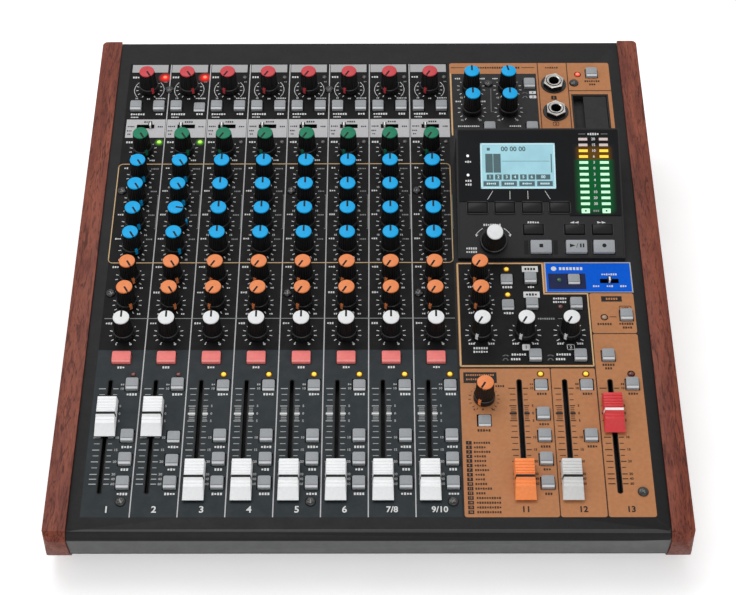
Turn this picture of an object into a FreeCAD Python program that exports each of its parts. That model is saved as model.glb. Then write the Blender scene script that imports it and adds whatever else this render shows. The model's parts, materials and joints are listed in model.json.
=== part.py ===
import FreeCAD, Part
import math
import os
from FreeCAD import Placement, Rotation, Vector

# A compact mixing desk with a recorder. X runs to the right, Y to the back and Z up, in millimetres.
# The origin is on the table, under the middle of the desk.
# Deck coordinates: x as above, y up the slope from the deck's front edge, z square to the deck.

# Case
STRIPS = 8
COLUMN_PITCH = 25.25
SIDE_MARGIN = 7.75
CHEEK_THICKNESS = 12.25
CHEEK_PROUD = 1.0
CHEEK_FRONT_RADIUS = 5.0
CHEEK_REAR_RADIUS = 3.0
CHEEK_REAR_PROUD = 0.8
DECK_TILT = 8.4
FRONT_EDGE_HEIGHT = 35.0
BEVEL_LENGTH = 4.7
BEVEL_ANGLE = 44.0
FRONT_FACE_LENGTH = 17.4
FRONT_FACE_LEAN = 15.0
UNDERCUT_DEPTH = 14.0
REAR_LIP = 10.0
SHEET = 1.5
CASE_WALL = 2.0
SEAM = 0.2
FOOT_HEIGHT = 5.0
FOOT_RADIUS = 8.0
FOOT_TAPER = 1.0
FOOT_INSET_X = 24.0
FOOT_INSET_Y = 32.0

# Number of flats on the faceted round pieces
FOOT_SIDE_COUNT = 12
KNOB_SIDE_COUNT = 8
DIAL_SIDE_COUNT = 12
WASHER_SIDE_COUNT = 16
SHAFT_SIDE_COUNT = 6
LIGHT_SIDE_COUNT = 5
SCREW_SIDE_COUNT = 6
INLET_SIDE_COUNT = 10
INLET_PIN_SIDE_COUNT = 5

# Rows up the deck, each a step behind the one in front of it
FADER_ROW = 59.6
FADER_TO_ASSIGN = -0.6
ASSIGN_PITCH = 14.9
FADER_TO_MUTE = 33.3
MUTE_TO_LIGHT = 7.1
MUTE_TO_SEND_ASSIGN = -19.8
MUTE_TO_EFFECT_KNOB = -9.2
MUTE_TO_SELECT = -23.7
MUTE_TO_RECORD = 18.1
RECORD_TO_PAN = 17.1
PAN_TO_SEND = 21.6
SEND_PITCH = 18.7
SEND_TO_EQUALISER = 21.6
EQUALISER_PITCH = 18.55
EQUALISER_TO_COMPRESSOR = 21.6
COMPRESSOR_TO_LIGHT = 6.6
COMPRESSOR_TO_MODE = 19.8
MODE_TO_TOP_BUTTON = 16.6
TOP_BUTTON_TO_GAIN = 15.3
GAIN_TO_LIGHT = 9.9
GAIN_TO_REAR = 40.05
MASTER_EQUALISER_PITCH = 19.1
FRONT_SCREW_ROW = 18.0
SEND_TO_SCREW = 7.3
EQUALISER_TO_SCREW = 7.4

# Places across a column, from its middle or its left edge
TOP_BUTTON_OFFSET = 7.2
FADER_OFFSET = 7.9
BUTTON_OFFSET = 20.1
LIGHT_OFFSET = 9.4

# Boards and what stands on them
BOARD_DEPTH = 9.0
BOARD_THICKNESS = 1.6
BOARD_FRONT_MARGIN = 8.0
BOARD_REAR_MARGIN = 22.0
BOARD_SIDE_GAP = 1.0
POT_WIDTH = 9.6
POT_LENGTH = 10.4
SEAT = 0.1

# Knobs
KNOB_HEIGHT = 16.0
KNOB_SKIRT_RADIUS = 6.0
KNOB_SKIRT_TOP_RADIUS = 5.75
KNOB_SKIRT_HEIGHT = 4.7
KNOB_CAP_RADIUS = 4.6
KNOB_GAP = 0.35
SHAFT_RADIUS = 3.0
SHAFT_CLEARANCE = 0.9
DIAL_RADIUS = 8.0
DIAL_HEIGHT = 16.6
DIAL_FLANGE_HEIGHT = 3.4
DIAL_BODY_RADIUS = 6.0
DIAL_CAP_RADIUS = 4.4
DIAL_EDGE = 1.0

# Faders
FADER_TRAVEL = 60.0
FADER_SLOT_SPARE = 13.2
FADER_SLOT_WIDTH = 2.2
FADER_CAP_WIDTH = 12.0
FADER_CAP_LENGTH = 23.4
FADER_CAP_HEIGHT = 7.8
FADER_CAP_GAP = 1.4
FADER_SIDE_DRAFT = 1.0
FADER_LEVER_THICKNESS = 1.2
FADER_LEVER_LENGTH = 6.0
FADER_LEVER_DEPTH = 3.6
FADER_TRACK_WIDTH = 9.0
FADER_TRACK_SPARE = 26.0
FADER_TRACK_DEPTH = 2.6
FADER_RAISED = 40.3
FADER_MAIN_RAISED = 42.4

# Push buttons and slide switches
BUTTON_WIDTH = 7.4
BUTTON_LENGTH = 7.2
BUTTON_HEIGHT = 2.8
BUTTON_ROOT = 2.6
BUTTON_CHAMFER = 1.2
BUTTON_CLEARANCE = 0.35
BUTTON_LATCH = 2.2
RECORD_WIDTH = 10.5
RECORD_LENGTH = 7.2
NIB_WIDTH = 1.6
NIB_HEIGHT = 2.6
NIB_ROOT = 3.7
SWITCH_SLOT_SPARE = 4.6
SWITCH_SLOT_LENGTH = 3.2
SWITCH_TRAVEL = 6.3

# Lights and screws
LIGHT_RADIUS = 1.5
LIGHT_HEIGHT = 0.9
LIGHT_TAPER = 0.6
SCREW_RADIUS = 2.9
SCREW_HEIGHT = 1.5
SCREW_TAPER = 0.8

# Display housing: its top slopes more than the deck does
HOUSING_MARGIN = 1.7
SEND_TO_HOUSING = 12.6
HOUSING_FRONT_HEIGHT = 2.0
HOUSING_TILT = 17.7
HOUSING_BACK_LEAN = 3.0
HOUSING_WALL = 2.0
WINDOW_THICKNESS = 0.5
WINDOW_MARGIN = 1.2
WINDOW_BACK_MARGIN = 1.4
WINDOW_METER_DROP = 9.1
WINDOW_METER_WIDTH = 30.2
WINDOW_TO_SCREEN = 8.1
SCREEN_OFFSET = 14.2
SCREEN_WIDTH = 44.4
SCREEN_LENGTH = 29.4
SCREEN_BACK_MARGIN = 9.9
SCREEN_DEPTH = 4.0
DISPLAY_BOARD_MARGIN = 8.0
KEY_WIDTH = 11.2
KEY_LENGTH = 6.0
KEY_HEIGHT = 1.0
KEY_ROOT = 1.6
KEY_EDGE = 0.5
KEY_CLEARANCE = 0.35
TRANSPORT_WIDTH = 12.4
TRANSPORT_LENGTH = 8.0
TRANSPORT_HEIGHT = 2.3
SOFT_KEY_COUNT = 4
SOFT_KEY_OFFSET = 11.8
SOFT_KEY_PITCH = 16.13
SOFT_KEY_TO_WINDOW = 4.0
MENU_KEY_OFFSETS = (53.2, 29.0, 12.8)
MENU_TO_SOFT_KEY = 13.8
TRANSPORT_OFFSETS = (49.1, 28.4, 12.3)
TRANSPORT_ROW = 6.6
TRANSPORT_TO_MENU = 11.2
DIAL_OFFSET = 20.8
DIAL_ROW = 10.3
STATUS_LIGHT_OFFSET = 6.65
SCREEN_TO_STATUS_LIGHTS = (8.7, 21.1)

# Headphone jacks
WASHER_RADIUS = 7.9
WASHER_HEIGHT = 0.8
NUT_ACROSS_FLATS = 11.6
NUT_HEIGHT = 4.2
JACK_BORE = 3.2
JACK_BORE_DEPTH = 12.0
JACK_BODY = 13.0
JACK_OFFSET = 15.3
GAIN_TO_JACK = 3.4
JACK_PITCH = 23.5

# Card cover in its recess, hinged at its right edge
CARD_LEFT_MARGIN = 0.65
CARD_RIGHT_MARGIN = 1.5
GAIN_TO_CARD = -5.2
CARD_LENGTH = 30.7
CARD_RECESS = 5.0
CARD_WALL = 0.8
CARD_GRIP = 7.4
CARD_COVER_THICKNESS = 1.6
CARD_COVER_SUNK = 0.6
CARD_CLEARANCE = 0.4
CARD_SLOT_WIDTH = 2.6
CARD_SLOT_LENGTH = 24.4

# Rear wall
SOCKET_ROW_HEIGHT = 58.0
JACK_ROW_HEIGHT = 27.0
FLANGE_WIDTH = 23.6
FLANGE_HEIGHT = 27.0
FLANGE_THICKNESS = 1.5
SOCKET_BORE = 8.0
SOCKET_BODY = 20.0
SOCKET_DEPTH = 15.0
SOCKET_FLOOR = 2.0
LINE_JACK_BORE = 3.2
LINE_JACK_BODY = 11.0
LINE_FLANGE = 13.4
LINE_FLANGE_THICKNESS = 1.2
DATA_WIDTH = 9.6
DATA_HEIGHT = 4.0
DATA_SHELL = 0.6
DATA_DEPTH = 8.0
INLET_BORE = 3.1
INLET_BODY = 10.0
INLET_FLANGE = 11.6
INLET_DEPTH = 12.0
INLET_PIN = 1.0
INLET_OFFSET = 6.6
POWER_OFFSET = 1.75
ROCKER_WIDTH = 12.0
ROCKER_HEIGHT = 18.0
ROCKER_SWING = 9.0
ROCKER_CLEARANCE = 0.4
ROCKER_END_CLEARANCE = 1.0
ROCKER_PIVOT_DEPTH = 2.5
ROCKER_FRAME = 1.2
ROCKER_RIM = 2.5
ROCKER_FRAME_DEPTH = 12.0

# Values worked out from the ones above
MASTER_COLUMN = STRIPS
EFFECT_COLUMN = STRIPS + 1
SUB_COLUMN = STRIPS + 2
MAIN_COLUMN = STRIPS + 3
COLUMN_COUNT = STRIPS + 4
COLUMNS_WIDTH = COLUMN_COUNT * COLUMN_PITCH
INNER_WIDTH = COLUMNS_WIDTH + 2 * SIDE_MARGIN
ASSIGN_ROWS = tuple(FADER_ROW + FADER_TO_ASSIGN - step * ASSIGN_PITCH for step in range(3))
MUTE_ROW = FADER_ROW + FADER_TO_MUTE
RECORD_ROW = MUTE_ROW + MUTE_TO_RECORD
PAN_ROW = RECORD_ROW + RECORD_TO_PAN
SEND_B_ROW = PAN_ROW + PAN_TO_SEND
SEND_A_ROW = SEND_B_ROW + SEND_PITCH
BASS_ROW = SEND_A_ROW + SEND_TO_EQUALISER
TREBLE_ROW = BASS_ROW + 3 * EQUALISER_PITCH
COMPRESSOR_ROW = TREBLE_ROW + EQUALISER_TO_COMPRESSOR
MODE_ROW = COMPRESSOR_ROW + COMPRESSOR_TO_MODE
TOP_BUTTON_ROW = MODE_ROW + MODE_TO_TOP_BUTTON
GAIN_ROW = TOP_BUTTON_ROW + TOP_BUTTON_TO_GAIN
DECK_LENGTH = GAIN_ROW + GAIN_TO_REAR
TILT_COS = math.cos(math.radians(DECK_TILT))
TILT_SIN = math.sin(math.radians(DECK_TILT))
BEVEL_DROP = BEVEL_LENGTH * math.sin(math.radians(BEVEL_ANGLE))
BEVEL_RUN = BEVEL_LENGTH * math.cos(math.radians(BEVEL_ANGLE))
FACE_DROP = FRONT_FACE_LENGTH * math.cos(math.radians(FRONT_FACE_LEAN))
FACE_RUN = FRONT_FACE_LENGTH * math.sin(math.radians(FRONT_FACE_LEAN))
DECK_RUN = DECK_LENGTH * TILT_COS
CORNER_REACH = ((math.sin(math.radians(BEVEL_ANGLE)) + math.cos(math.radians(FRONT_FACE_LEAN)))
                / (1 + math.sin(math.radians(BEVEL_ANGLE - FRONT_FACE_LEAN))))
CHEEK_FRONT_PROUD = CHEEK_PROUD * CORNER_REACH
CASE_RUN = CHEEK_FRONT_PROUD + BEVEL_RUN + DECK_RUN + CHEEK_REAR_PROUD
DECK_FRONT_Y = -CASE_RUN / 2 + BEVEL_RUN + CHEEK_FRONT_PROUD
DECK_REAR_Y = DECK_FRONT_Y + DECK_RUN
REAR_WALL_Y = DECK_REAR_Y - SHEET - SEAM
POT_TOP = -SHEET - SEAM
BOARD_TOP = -SHEET - BOARD_DEPTH
FADER_BOTTOM = FADER_ROW - FADER_TRAVEL / 2


def column_left(column):
    return column * COLUMN_PITCH - COLUMNS_WIDTH / 2


def column_middle(column):
    return column_left(column) + COLUMN_PITCH / 2


HOUSING_LEFT = column_left(MASTER_COLUMN) + HOUSING_MARGIN
HOUSING_RIGHT = column_left(COLUMN_COUNT) - HOUSING_MARGIN
HOUSING_FRONT = SEND_A_ROW + SEND_TO_HOUSING
SCREEN_LEFT = HOUSING_LEFT + SCREEN_OFFSET
SCREEN_RIGHT = SCREEN_LEFT + SCREEN_WIDTH
MENU_KEY_ROW = TRANSPORT_ROW + TRANSPORT_TO_MENU
SOFT_KEY_ROW = MENU_KEY_ROW + MENU_TO_SOFT_KEY
WINDOW_FRONT = SOFT_KEY_ROW + SOFT_KEY_TO_WINDOW
WINDOW_METER_FRONT = WINDOW_FRONT - WINDOW_METER_DROP
SCREEN_FRONT = WINDOW_FRONT + WINDOW_TO_SCREEN
SCREEN_BACK = SCREEN_FRONT + SCREEN_LENGTH
HOUSING_TOP_LENGTH = SCREEN_BACK + SCREEN_BACK_MARGIN
DIAL_X = HOUSING_LEFT + DIAL_OFFSET
JACK_X = column_left(SUB_COLUMN) + JACK_OFFSET
JACK_ROWS = (GAIN_ROW + GAIN_TO_JACK - JACK_PITCH, GAIN_ROW + GAIN_TO_JACK)
CARD_LEFT = column_left(MAIN_COLUMN) + CARD_LEFT_MARGIN
CARD_RIGHT = column_left(COLUMN_COUNT) - CARD_RIGHT_MARGIN
CARD_BACK = GAIN_ROW + GAIN_TO_CARD
CARD_FRONT = CARD_BACK - CARD_LENGTH
POWER_X = column_left(MAIN_COLUMN) + POWER_OFFSET
INLET_X = column_left(MAIN_COLUMN) + INLET_OFFSET

DECK = Placement(Vector(0, DECK_FRONT_Y, FRONT_EDGE_HEIGHT), Rotation(Vector(1, 0, 0), DECK_TILT))
HOUSING = DECK.multiply(
    Placement(Vector(0, HOUSING_FRONT, HOUSING_FRONT_HEIGHT), Rotation(Vector(1, 0, 0), HOUSING_TILT))
)
REAR = Placement(Vector(0, REAR_WALL_Y, 0), Rotation(Vector(1, 0, 0), -90))


def box(x0, x1, y0, y1, z0, z1):
    return Part.makeBox(x1 - x0, y1 - y0, z1 - z0, Vector(x0, y0, z0))


def box_at(x, y, width, length, z0, z1):
    return box(x - width / 2, x + width / 2, y - length / 2, y + length / 2, z0, z1)


def prism_across(points, x0, x1):
    """A solid of one outline in Y and Z, from x0 to x1."""
    corners = [Vector(x0, y, z) for y, z in points]
    wire = Part.makePolygon(corners + corners[:1])
    return Part.Face(wire).extrude(Vector(x1 - x0, 0, 0))


def prism_along(points, y0, y1):
    """A solid of one outline in X and Z, from y0 to y1."""
    corners = [Vector(x, y0, z) for x, z in points]
    wire = Part.makePolygon(corners + corners[:1])
    return Part.Face(wire).extrude(Vector(0, y1 - y0, 0))


def prism_up(points, z0, z1):
    """A solid of one outline in X and Y, from z0 to z1."""
    corners = [Vector(x, y, z0) for x, y in points]
    wire = Part.makePolygon(corners + corners[:1])
    return Part.Face(wire).extrude(Vector(0, 0, z1 - z0))


def faceted(x, y, profile, sides):
    """A turned body with flats in place of a round, from (radius, height) pairs."""
    rings = []
    for radius, height in profile:
        ring = []
        for index in range(sides):
            angle = 2 * math.pi * (index + 0.5) / sides
            ring.append(Vector(x + radius * math.cos(angle), y + radius * math.sin(angle), height))
        rings.append(ring)
    faces = [Part.Face(Part.makePolygon(ring + ring[:1])) for ring in (rings[0], rings[-1])]
    for low, high in zip(rings, rings[1:]):
        for index in range(sides):
            after = (index + 1) % sides
            corners = [low[index], low[after], high[after], high[index], low[index]]
            faces.append(Part.Face(Part.makePolygon(corners)))
    solid = Part.Solid(Part.Shell(faces))
    if solid.Volume < 0:
        solid.reverse()
    return solid


def offset_path(points, distance):
    """The open path moved square to itself, to its left, with mitred corners."""
    moved = []
    for index, point in enumerate(points):
        normals = []
        for a, b in ((index - 1, index), (index, index + 1)):
            if a >= 0 and b < len(points):
                run = (points[b][0] - points[a][0], points[b][1] - points[a][1])
                length = math.hypot(*run)
                normals.append((-run[1] / length, run[0] / length))
        across = [sum(normal[axis] for normal in normals) for axis in (0, 1)]
        share = distance * len(normals) / (across[0] ** 2 + across[1] ** 2)
        moved.append((point[0] + across[0] * share, point[1] + across[1] * share))
    return moved


def placed(shape, place):
    moved = shape.copy()
    moved.Placement = place.multiply(moved.Placement)
    return moved


def on_deck(shape):
    return placed(shape, DECK)


def on_housing(shape):
    return placed(shape, HOUSING)


def on_rear(shape):
    """From a drawing of the rear wall: x, height as minus y, and z out of the wall."""
    return placed(shape, REAR)


def deck_point(along, up):
    """A point of the deck's side view, as world Y and Z."""
    y = DECK_FRONT_Y + along * TILT_COS - up * TILT_SIN
    z = FRONT_EDGE_HEIGHT + along * TILT_SIN + up * TILT_COS
    return (y, z)


def case_path():
    """The outside of the folded sheet, from the rear lip forward and down the front face."""
    rear = deck_point(DECK_LENGTH, 0)
    front = deck_point(0, 0)
    bevel = (front[0] - BEVEL_RUN, front[1] - BEVEL_DROP)
    chin = (bevel[0] + FACE_RUN, bevel[1] - FACE_DROP)
    return [(rear[0], rear[1] - REAR_LIP), rear, front, bevel, chin]


# Places of the controls: each is (x, y) on the deck

def fader_columns():
    return list(range(STRIPS)) + [EFFECT_COLUMN, SUB_COLUMN, MAIN_COLUMN]


def strip_row(row, offset=0.0, first=0):
    return [(column_middle(strip) + offset, row) for strip in range(first, STRIPS)]


def in_column(column, offset, row):
    return (column_left(column) + offset, row)


def fader_places():
    """Each fader's name, x, and how far it stands up from the bottom of its travel."""
    places = [("fader_%d" % (strip + 1), column_left(strip) + FADER_OFFSET, 0.0) for strip in range(STRIPS)]
    for index in (0, 1):
        places[index] = places[index][:2] + (FADER_RAISED,)
    places.append(("fader_effect", column_left(EFFECT_COLUMN) + FADER_OFFSET, 0.0))
    places.append(("fader_sub", column_left(SUB_COLUMN) + FADER_OFFSET, 0.0))
    places.append(("fader_main", column_left(MAIN_COLUMN) + FADER_OFFSET, FADER_MAIN_RAISED))
    return places


STRIP_KNOBS = {
    "gain_knob": GAIN_ROW,
    "compressor_knob": COMPRESSOR_ROW,
    "treble_knob": TREBLE_ROW,
    "middle_knob": TREBLE_ROW - EQUALISER_PITCH,
    "middle_tune_knob": TREBLE_ROW - 2 * EQUALISER_PITCH,
    "bass_knob": BASS_ROW,
    "send_a_knob": SEND_A_ROW,
    "send_b_knob": SEND_B_ROW,
    "pan_knob": PAN_ROW,
}

MASTER_KNOBS = {
    "main_treble_knob": (MASTER_COLUMN, 13.4, GAIN_ROW),
    "main_bass_knob": (MASTER_COLUMN, 13.4, GAIN_ROW - MASTER_EQUALISER_PITCH),
    "main_middle_knob": (EFFECT_COLUMN, 11.3, GAIN_ROW),
    "main_tune_knob": (EFFECT_COLUMN, 11.3, GAIN_ROW - MASTER_EQUALISER_PITCH),
    "send_a_master_knob": (MASTER_COLUMN, 13.1, SEND_A_ROW),
    "send_b_master_knob": (MASTER_COLUMN, 13.1, SEND_B_ROW),
    "monitor_knob": (MASTER_COLUMN, 13.1, PAN_ROW),
    "headphone_knob_1": (EFFECT_COLUMN, 12.9, PAN_ROW),
    "headphone_knob_2": (SUB_COLUMN, 12.9, PAN_ROW),
    "effect_knob": (MASTER_COLUMN, 13.1, MUTE_ROW + MUTE_TO_EFFECT_KNOB),
}

FIXED_KNOBS = {
    "gain_and_compressor_knobs": ["gain_knob", "compressor_knob"],
    "equaliser_knobs": ["treble_knob", "middle_knob", "middle_tune_knob", "bass_knob"],
    "send_and_pan_knobs": ["send_a_knob", "send_b_knob", "pan_knob"],
}


def turning_knob_places():
    places = {name: (column_middle(0), row) for name, row in STRIP_KNOBS.items()}
    for name, place in MASTER_KNOBS.items():
        places[name] = in_column(*place)
    return places


def button_place(column, row):
    return in_column(column, BUTTON_OFFSET, row)


def latched_button_places():
    """Buttons that the desk shows pressed in: most mutes, and a few others."""
    muted = list(range(2, STRIPS)) + [EFFECT_COLUMN, SUB_COLUMN]
    places = [button_place(column, MUTE_ROW) for column in muted]
    places += [button_place(1, ASSIGN_ROWS[0]), button_place(1, ASSIGN_ROWS[1])]
    places.append((column_middle(1) + TOP_BUTTON_OFFSET, TOP_BUTTON_ROW))
    places.append(in_column(EFFECT_COLUMN, 4.2, SEND_A_ROW - 1.4))
    places.append(in_column(EFFECT_COLUMN, 4.2, SEND_B_ROW - 1.1))
    places.append(in_column(SUB_COLUMN, 18.0, SEND_A_ROW - 1.4))
    places.append(in_column(MASTER_COLUMN, 12.9, MUTE_ROW + MUTE_TO_SELECT))
    return places


def upper_button_places():
    left = strip_row(TOP_BUTTON_ROW, -TOP_BUTTON_OFFSET)
    right = strip_row(TOP_BUTTON_ROW, TOP_BUTTON_OFFSET)
    return [place for place in left + right if place not in latched_button_places()]


def fader_button_places():
    places = [button_place(column, MUTE_ROW) for column in fader_columns()]
    for row in ASSIGN_ROWS:
        places += [button_place(strip, row) for strip in range(STRIPS)]
        places.append(button_place(EFFECT_COLUMN, row))
    places.append(button_place(EFFECT_COLUMN, MUTE_ROW + MUTE_TO_SEND_ASSIGN))
    places.append(button_place(SUB_COLUMN, ASSIGN_ROWS[0]))
    return [place for place in places if place not in latched_button_places()]


def master_button_places():
    return [
        in_column(MASTER_COLUMN, 24.2, MODE_ROW - 1.9),
        in_column(SUB_COLUMN, 0.0, MODE_ROW - 1.9),
        in_column(SUB_COLUMN, 0.0, GAIN_ROW + 3.4),
        in_column(MAIN_COLUMN, 14.6, GAIN_ROW + 12.5),
        in_column(EFFECT_COLUMN, 17.9, SEND_A_ROW - 1.4),
        in_column(EFFECT_COLUMN, 17.9, SEND_B_ROW - 1.1),
        in_column(SUB_COLUMN, 18.0, SEND_B_ROW - 1.1),
        in_column(MAIN_COLUMN, 20.8, SEND_B_ROW - 9.3),
        in_column(EFFECT_COLUMN, 17.9, RECORD_ROW + 1.3),
        in_column(SUB_COLUMN, 18.0, RECORD_ROW + 1.3),
        in_column(MAIN_COLUMN, 8.3, RECORD_ROW + 1.3),
    ]


def square_button_places():
    groups = (latched_button_places(), upper_button_places(), fader_button_places(), master_button_places())
    return [place for group in groups for place in group]


def light_places():
    places = strip_row(GAIN_ROW + GAIN_TO_LIGHT, LIGHT_OFFSET)
    places += strip_row(COMPRESSOR_ROW + COMPRESSOR_TO_LIGHT, LIGHT_OFFSET)
    places += [button_place(column, MUTE_ROW + MUTE_TO_LIGHT) for column in fader_columns()]
    places.append(in_column(MAIN_COLUMN, 5.8, GAIN_ROW + 11.9))
    places.append(in_column(EFFECT_COLUMN, 4.3, SEND_A_ROW + 5.7))
    places.append(in_column(EFFECT_COLUMN, 4.3, SEND_B_ROW + 5.8))
    places.append(in_column(SUB_COLUMN, 9.4, SEND_A_ROW - 2.2))
    places.append(in_column(SUB_COLUMN, 8.9, SEND_B_ROW - 2.9))
    places.append(in_column(MAIN_COLUMN, 8.2, SEND_B_ROW - 10.4))
    return places


def screw_places():
    places = [(column_left(column), GAIN_ROW - 0.9) for column in (1, STRIPS - 3)]
    for row in (SEND_B_ROW + SEND_TO_SCREW, TREBLE_ROW - EQUALISER_PITCH + EQUALISER_TO_SCREW):
        places += [in_column(0, 2.5, row), in_column(4, 3.5, row), in_column(STRIPS - 1, 3.5, row)]
    for column in (0, 4, STRIPS - 1):
        places.append(in_column(column, 19.8, FRONT_SCREW_ROW))
    places.append(in_column(MAIN_COLUMN, 20.0, FRONT_SCREW_ROW + 5.8))
    places.append(in_column(MAIN_COLUMN, 3.0, GAIN_ROW + 4.4))
    places.append(in_column(MASTER_COLUMN, 24.6, GAIN_ROW + 3.9))
    return places


# Case pieces

def top_panel():
    outside = case_path()
    inside = offset_path(outside, SHEET)
    half = INNER_WIDTH / 2 - SEAM
    panel = prism_across(outside + inside[::-1], -half, half)
    holes = [on_deck(hole) for hole in deck_holes()]
    return panel.cut(Part.makeCompound(holes))


def deck_holes():
    """Cutters for every opening of the deck, a little longer than the sheet is thick."""
    top = SHEET
    bottom = -2 * SHEET
    holes = []
    for name, x, raised in fader_places():
        holes.append(slot_hole(x, FADER_ROW, FADER_SLOT_WIDTH, FADER_TRAVEL + FADER_SLOT_SPARE, bottom, top))
    radius = SHAFT_RADIUS + SHAFT_CLEARANCE
    for x, y in turning_knob_places().values():
        holes.append(faceted(x, y, [(radius, bottom), (radius, top)], SHAFT_SIDE_COUNT))
    spare = 2 * BUTTON_CLEARANCE
    for x, y in square_button_places():
        holes.append(box_at(x, y, BUTTON_WIDTH + spare, BUTTON_LENGTH + spare, bottom, top))
    for x, y in strip_row(RECORD_ROW):
        holes.append(box_at(x, y, RECORD_WIDTH + spare, RECORD_LENGTH + spare, bottom, top))
    for x, y in strip_row(MODE_ROW) + [assign_switch_place()]:
        width = SWITCH_TRAVEL + SWITCH_SLOT_SPARE
        holes.append(box_at(x, y, width, SWITCH_SLOT_LENGTH, bottom, top))
    radius = nut_corner() + SEAM
    for y in JACK_ROWS:
        holes.append(faceted(JACK_X, y, [(radius, bottom), (radius, top)], 6))
    holes.append(box(CARD_LEFT, CARD_RIGHT, CARD_FRONT, CARD_BACK, bottom, top))
    holes.append(cable_hole(bottom, top))
    return holes


def cable_hole(bottom, top):
    """The opening under the display housing that its ribbon cables pass through."""
    margin = DISPLAY_BOARD_MARGIN + HOUSING_WALL
    front = HOUSING_FRONT + WINDOW_FRONT
    return box(HOUSING_LEFT + margin, HOUSING_RIGHT - margin, front, front + 2 * margin, bottom, top)


def slot_hole(x, y, width, length, bottom, top):
    """A long slot with cut corners at its ends."""
    half = width / 2
    corner = half * 0.6
    end = length / 2
    side = [(-half, -end + corner), (-half + corner, -end), (half - corner, -end), (half, -end + corner)]
    outline = side + [(-a, -b) for a, b in side]
    return prism_up([(x + a, y + b) for a, b in outline], bottom, top)


def undercut(chin):
    """The two lower corners of the case's front, under the front face."""
    drop = chin[1] - FOOT_HEIGHT
    knee = (chin[0] + UNDERCUT_DEPTH * 0.3, chin[1] - drop * 0.6)
    toe = (chin[0] + UNDERCUT_DEPTH, FOOT_HEIGHT)
    return [knee, toe]


def bottom_case():
    """The tray: it stands behind the folded sheet and fills the front under it."""
    path = case_path()
    lip, rear, front, bevel, chin = offset_path(path, SHEET + SEAM)
    outer_chin = (path[-1][0], path[-1][1] - SEAM)
    knee, toe = undercut(outer_chin)
    outline = [(REAR_WALL_Y, FOOT_HEIGHT), (REAR_WALL_Y, rear[1]), front, bevel, (chin[0], outer_chin[1]),
               outer_chin, knee, toe]
    half = INNER_WIDTH / 2 - SEAM
    tray = prism_across(outline, -half, half)
    wall = CASE_WALL
    floor = FOOT_HEIGHT + wall
    above = rear[1] + wall
    hollow = [(REAR_WALL_Y - wall, floor), (REAR_WALL_Y - wall, above), (chin[0] + wall, above),
              (chin[0] + wall, outer_chin[1]), (knee[0] + wall * 1.6, knee[1] + wall * 0.4),
              (toe[0] + wall * 0.6, floor)]
    tray = tray.cut(prism_across(hollow, -half + wall, half - wall))
    return tray.cut(Part.makeCompound([on_rear(hole) for hole in rear_holes()]))


def cheek(side):
    """A wooden end cheek, drawn for the right-hand side and mirrored for the left."""
    lip, rear, front, bevel, chin = offset_path(case_path(), -CHEEK_PROUD)
    back = DECK_REAR_Y + CHEEK_REAR_PROUD
    knee, toe = undercut(chin)
    top_back = rear[1] + (back - rear[0]) * TILT_SIN / TILT_COS
    side_view = [(back, FOOT_HEIGHT), (back, top_back), front, bevel, chin, knee, toe]
    inner = INNER_WIDTH / 2
    outer = inner + CHEEK_THICKNESS
    block = prism_across(side_view, inner, outer)
    shape = block.common(rounded_plan(inner, outer, bevel[0], back, FOOT_HEIGHT, top_back))
    if side < 0:
        shape = shape.mirror(Vector(0, 0, 0), Vector(1, 0, 0))
    return shape


def rounded_plan(inner, outer, front, back, bottom, top):
    """The cheek seen from above, with its two outer corners rounded."""
    fore = CHEEK_FRONT_RADIUS
    rear = CHEEK_REAR_RADIUS
    root = math.sqrt(0.5)
    a = Vector(inner, front, bottom)
    b = Vector(outer - fore, front, bottom)
    b_mid = Vector(outer - fore + fore * root, front + fore - fore * root, bottom)
    c = Vector(outer, front + fore, bottom)
    d = Vector(outer, back - rear, bottom)
    d_mid = Vector(outer - rear + rear * root, back - rear + rear * root, bottom)
    e = Vector(outer - rear, back, bottom)
    f = Vector(inner, back, bottom)
    edges = [Part.makeLine(a, b), Part.Arc(b, b_mid, c).toShape(), Part.makeLine(c, d),
             Part.Arc(d, d_mid, e).toShape(), Part.makeLine(e, f), Part.makeLine(f, a)]
    return Part.Face(Part.Wire(edges)).extrude(Vector(0, 0, top - bottom))


def rubber_feet():
    feet = []
    profile = [(FOOT_RADIUS - FOOT_TAPER, 0.0), (FOOT_RADIUS, FOOT_HEIGHT)]
    for x in (-INNER_WIDTH / 2 + FOOT_INSET_X, INNER_WIDTH / 2 - FOOT_INSET_X):
        for y in (DECK_FRONT_Y + FOOT_INSET_Y, DECK_REAR_Y - FOOT_INSET_Y):
            feet.append(faceted(x, y, profile, FOOT_SIDE_COUNT))
    return Part.makeCompound(feet)


def panel_screws():
    profile = [(SCREW_RADIUS, 0.0), (SCREW_RADIUS - SCREW_TAPER, SCREW_HEIGHT)]
    screws = [on_deck(faceted(x, y, profile, SCREW_SIDE_COUNT)) for x, y in screw_places()]
    return Part.makeCompound(screws)


def indicator_lights():
    profile = [(LIGHT_RADIUS, 0.0), (LIGHT_RADIUS - LIGHT_TAPER, LIGHT_HEIGHT)]
    lights = [on_deck(faceted(x, y, profile, LIGHT_SIDE_COUNT)) for x, y in light_places()]
    raised = [(radius, height + WINDOW_THICKNESS) for radius, height in profile]
    for behind in SCREEN_TO_STATUS_LIGHTS:
        y = SCREEN_FRONT + behind
        light = faceted(HOUSING_LEFT + STATUS_LIGHT_OFFSET, y, raised, LIGHT_SIDE_COUNT)
        lights.append(on_housing(light))
    return Part.makeCompound(lights)


# Boards, potentiometers and fader tracks

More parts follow.
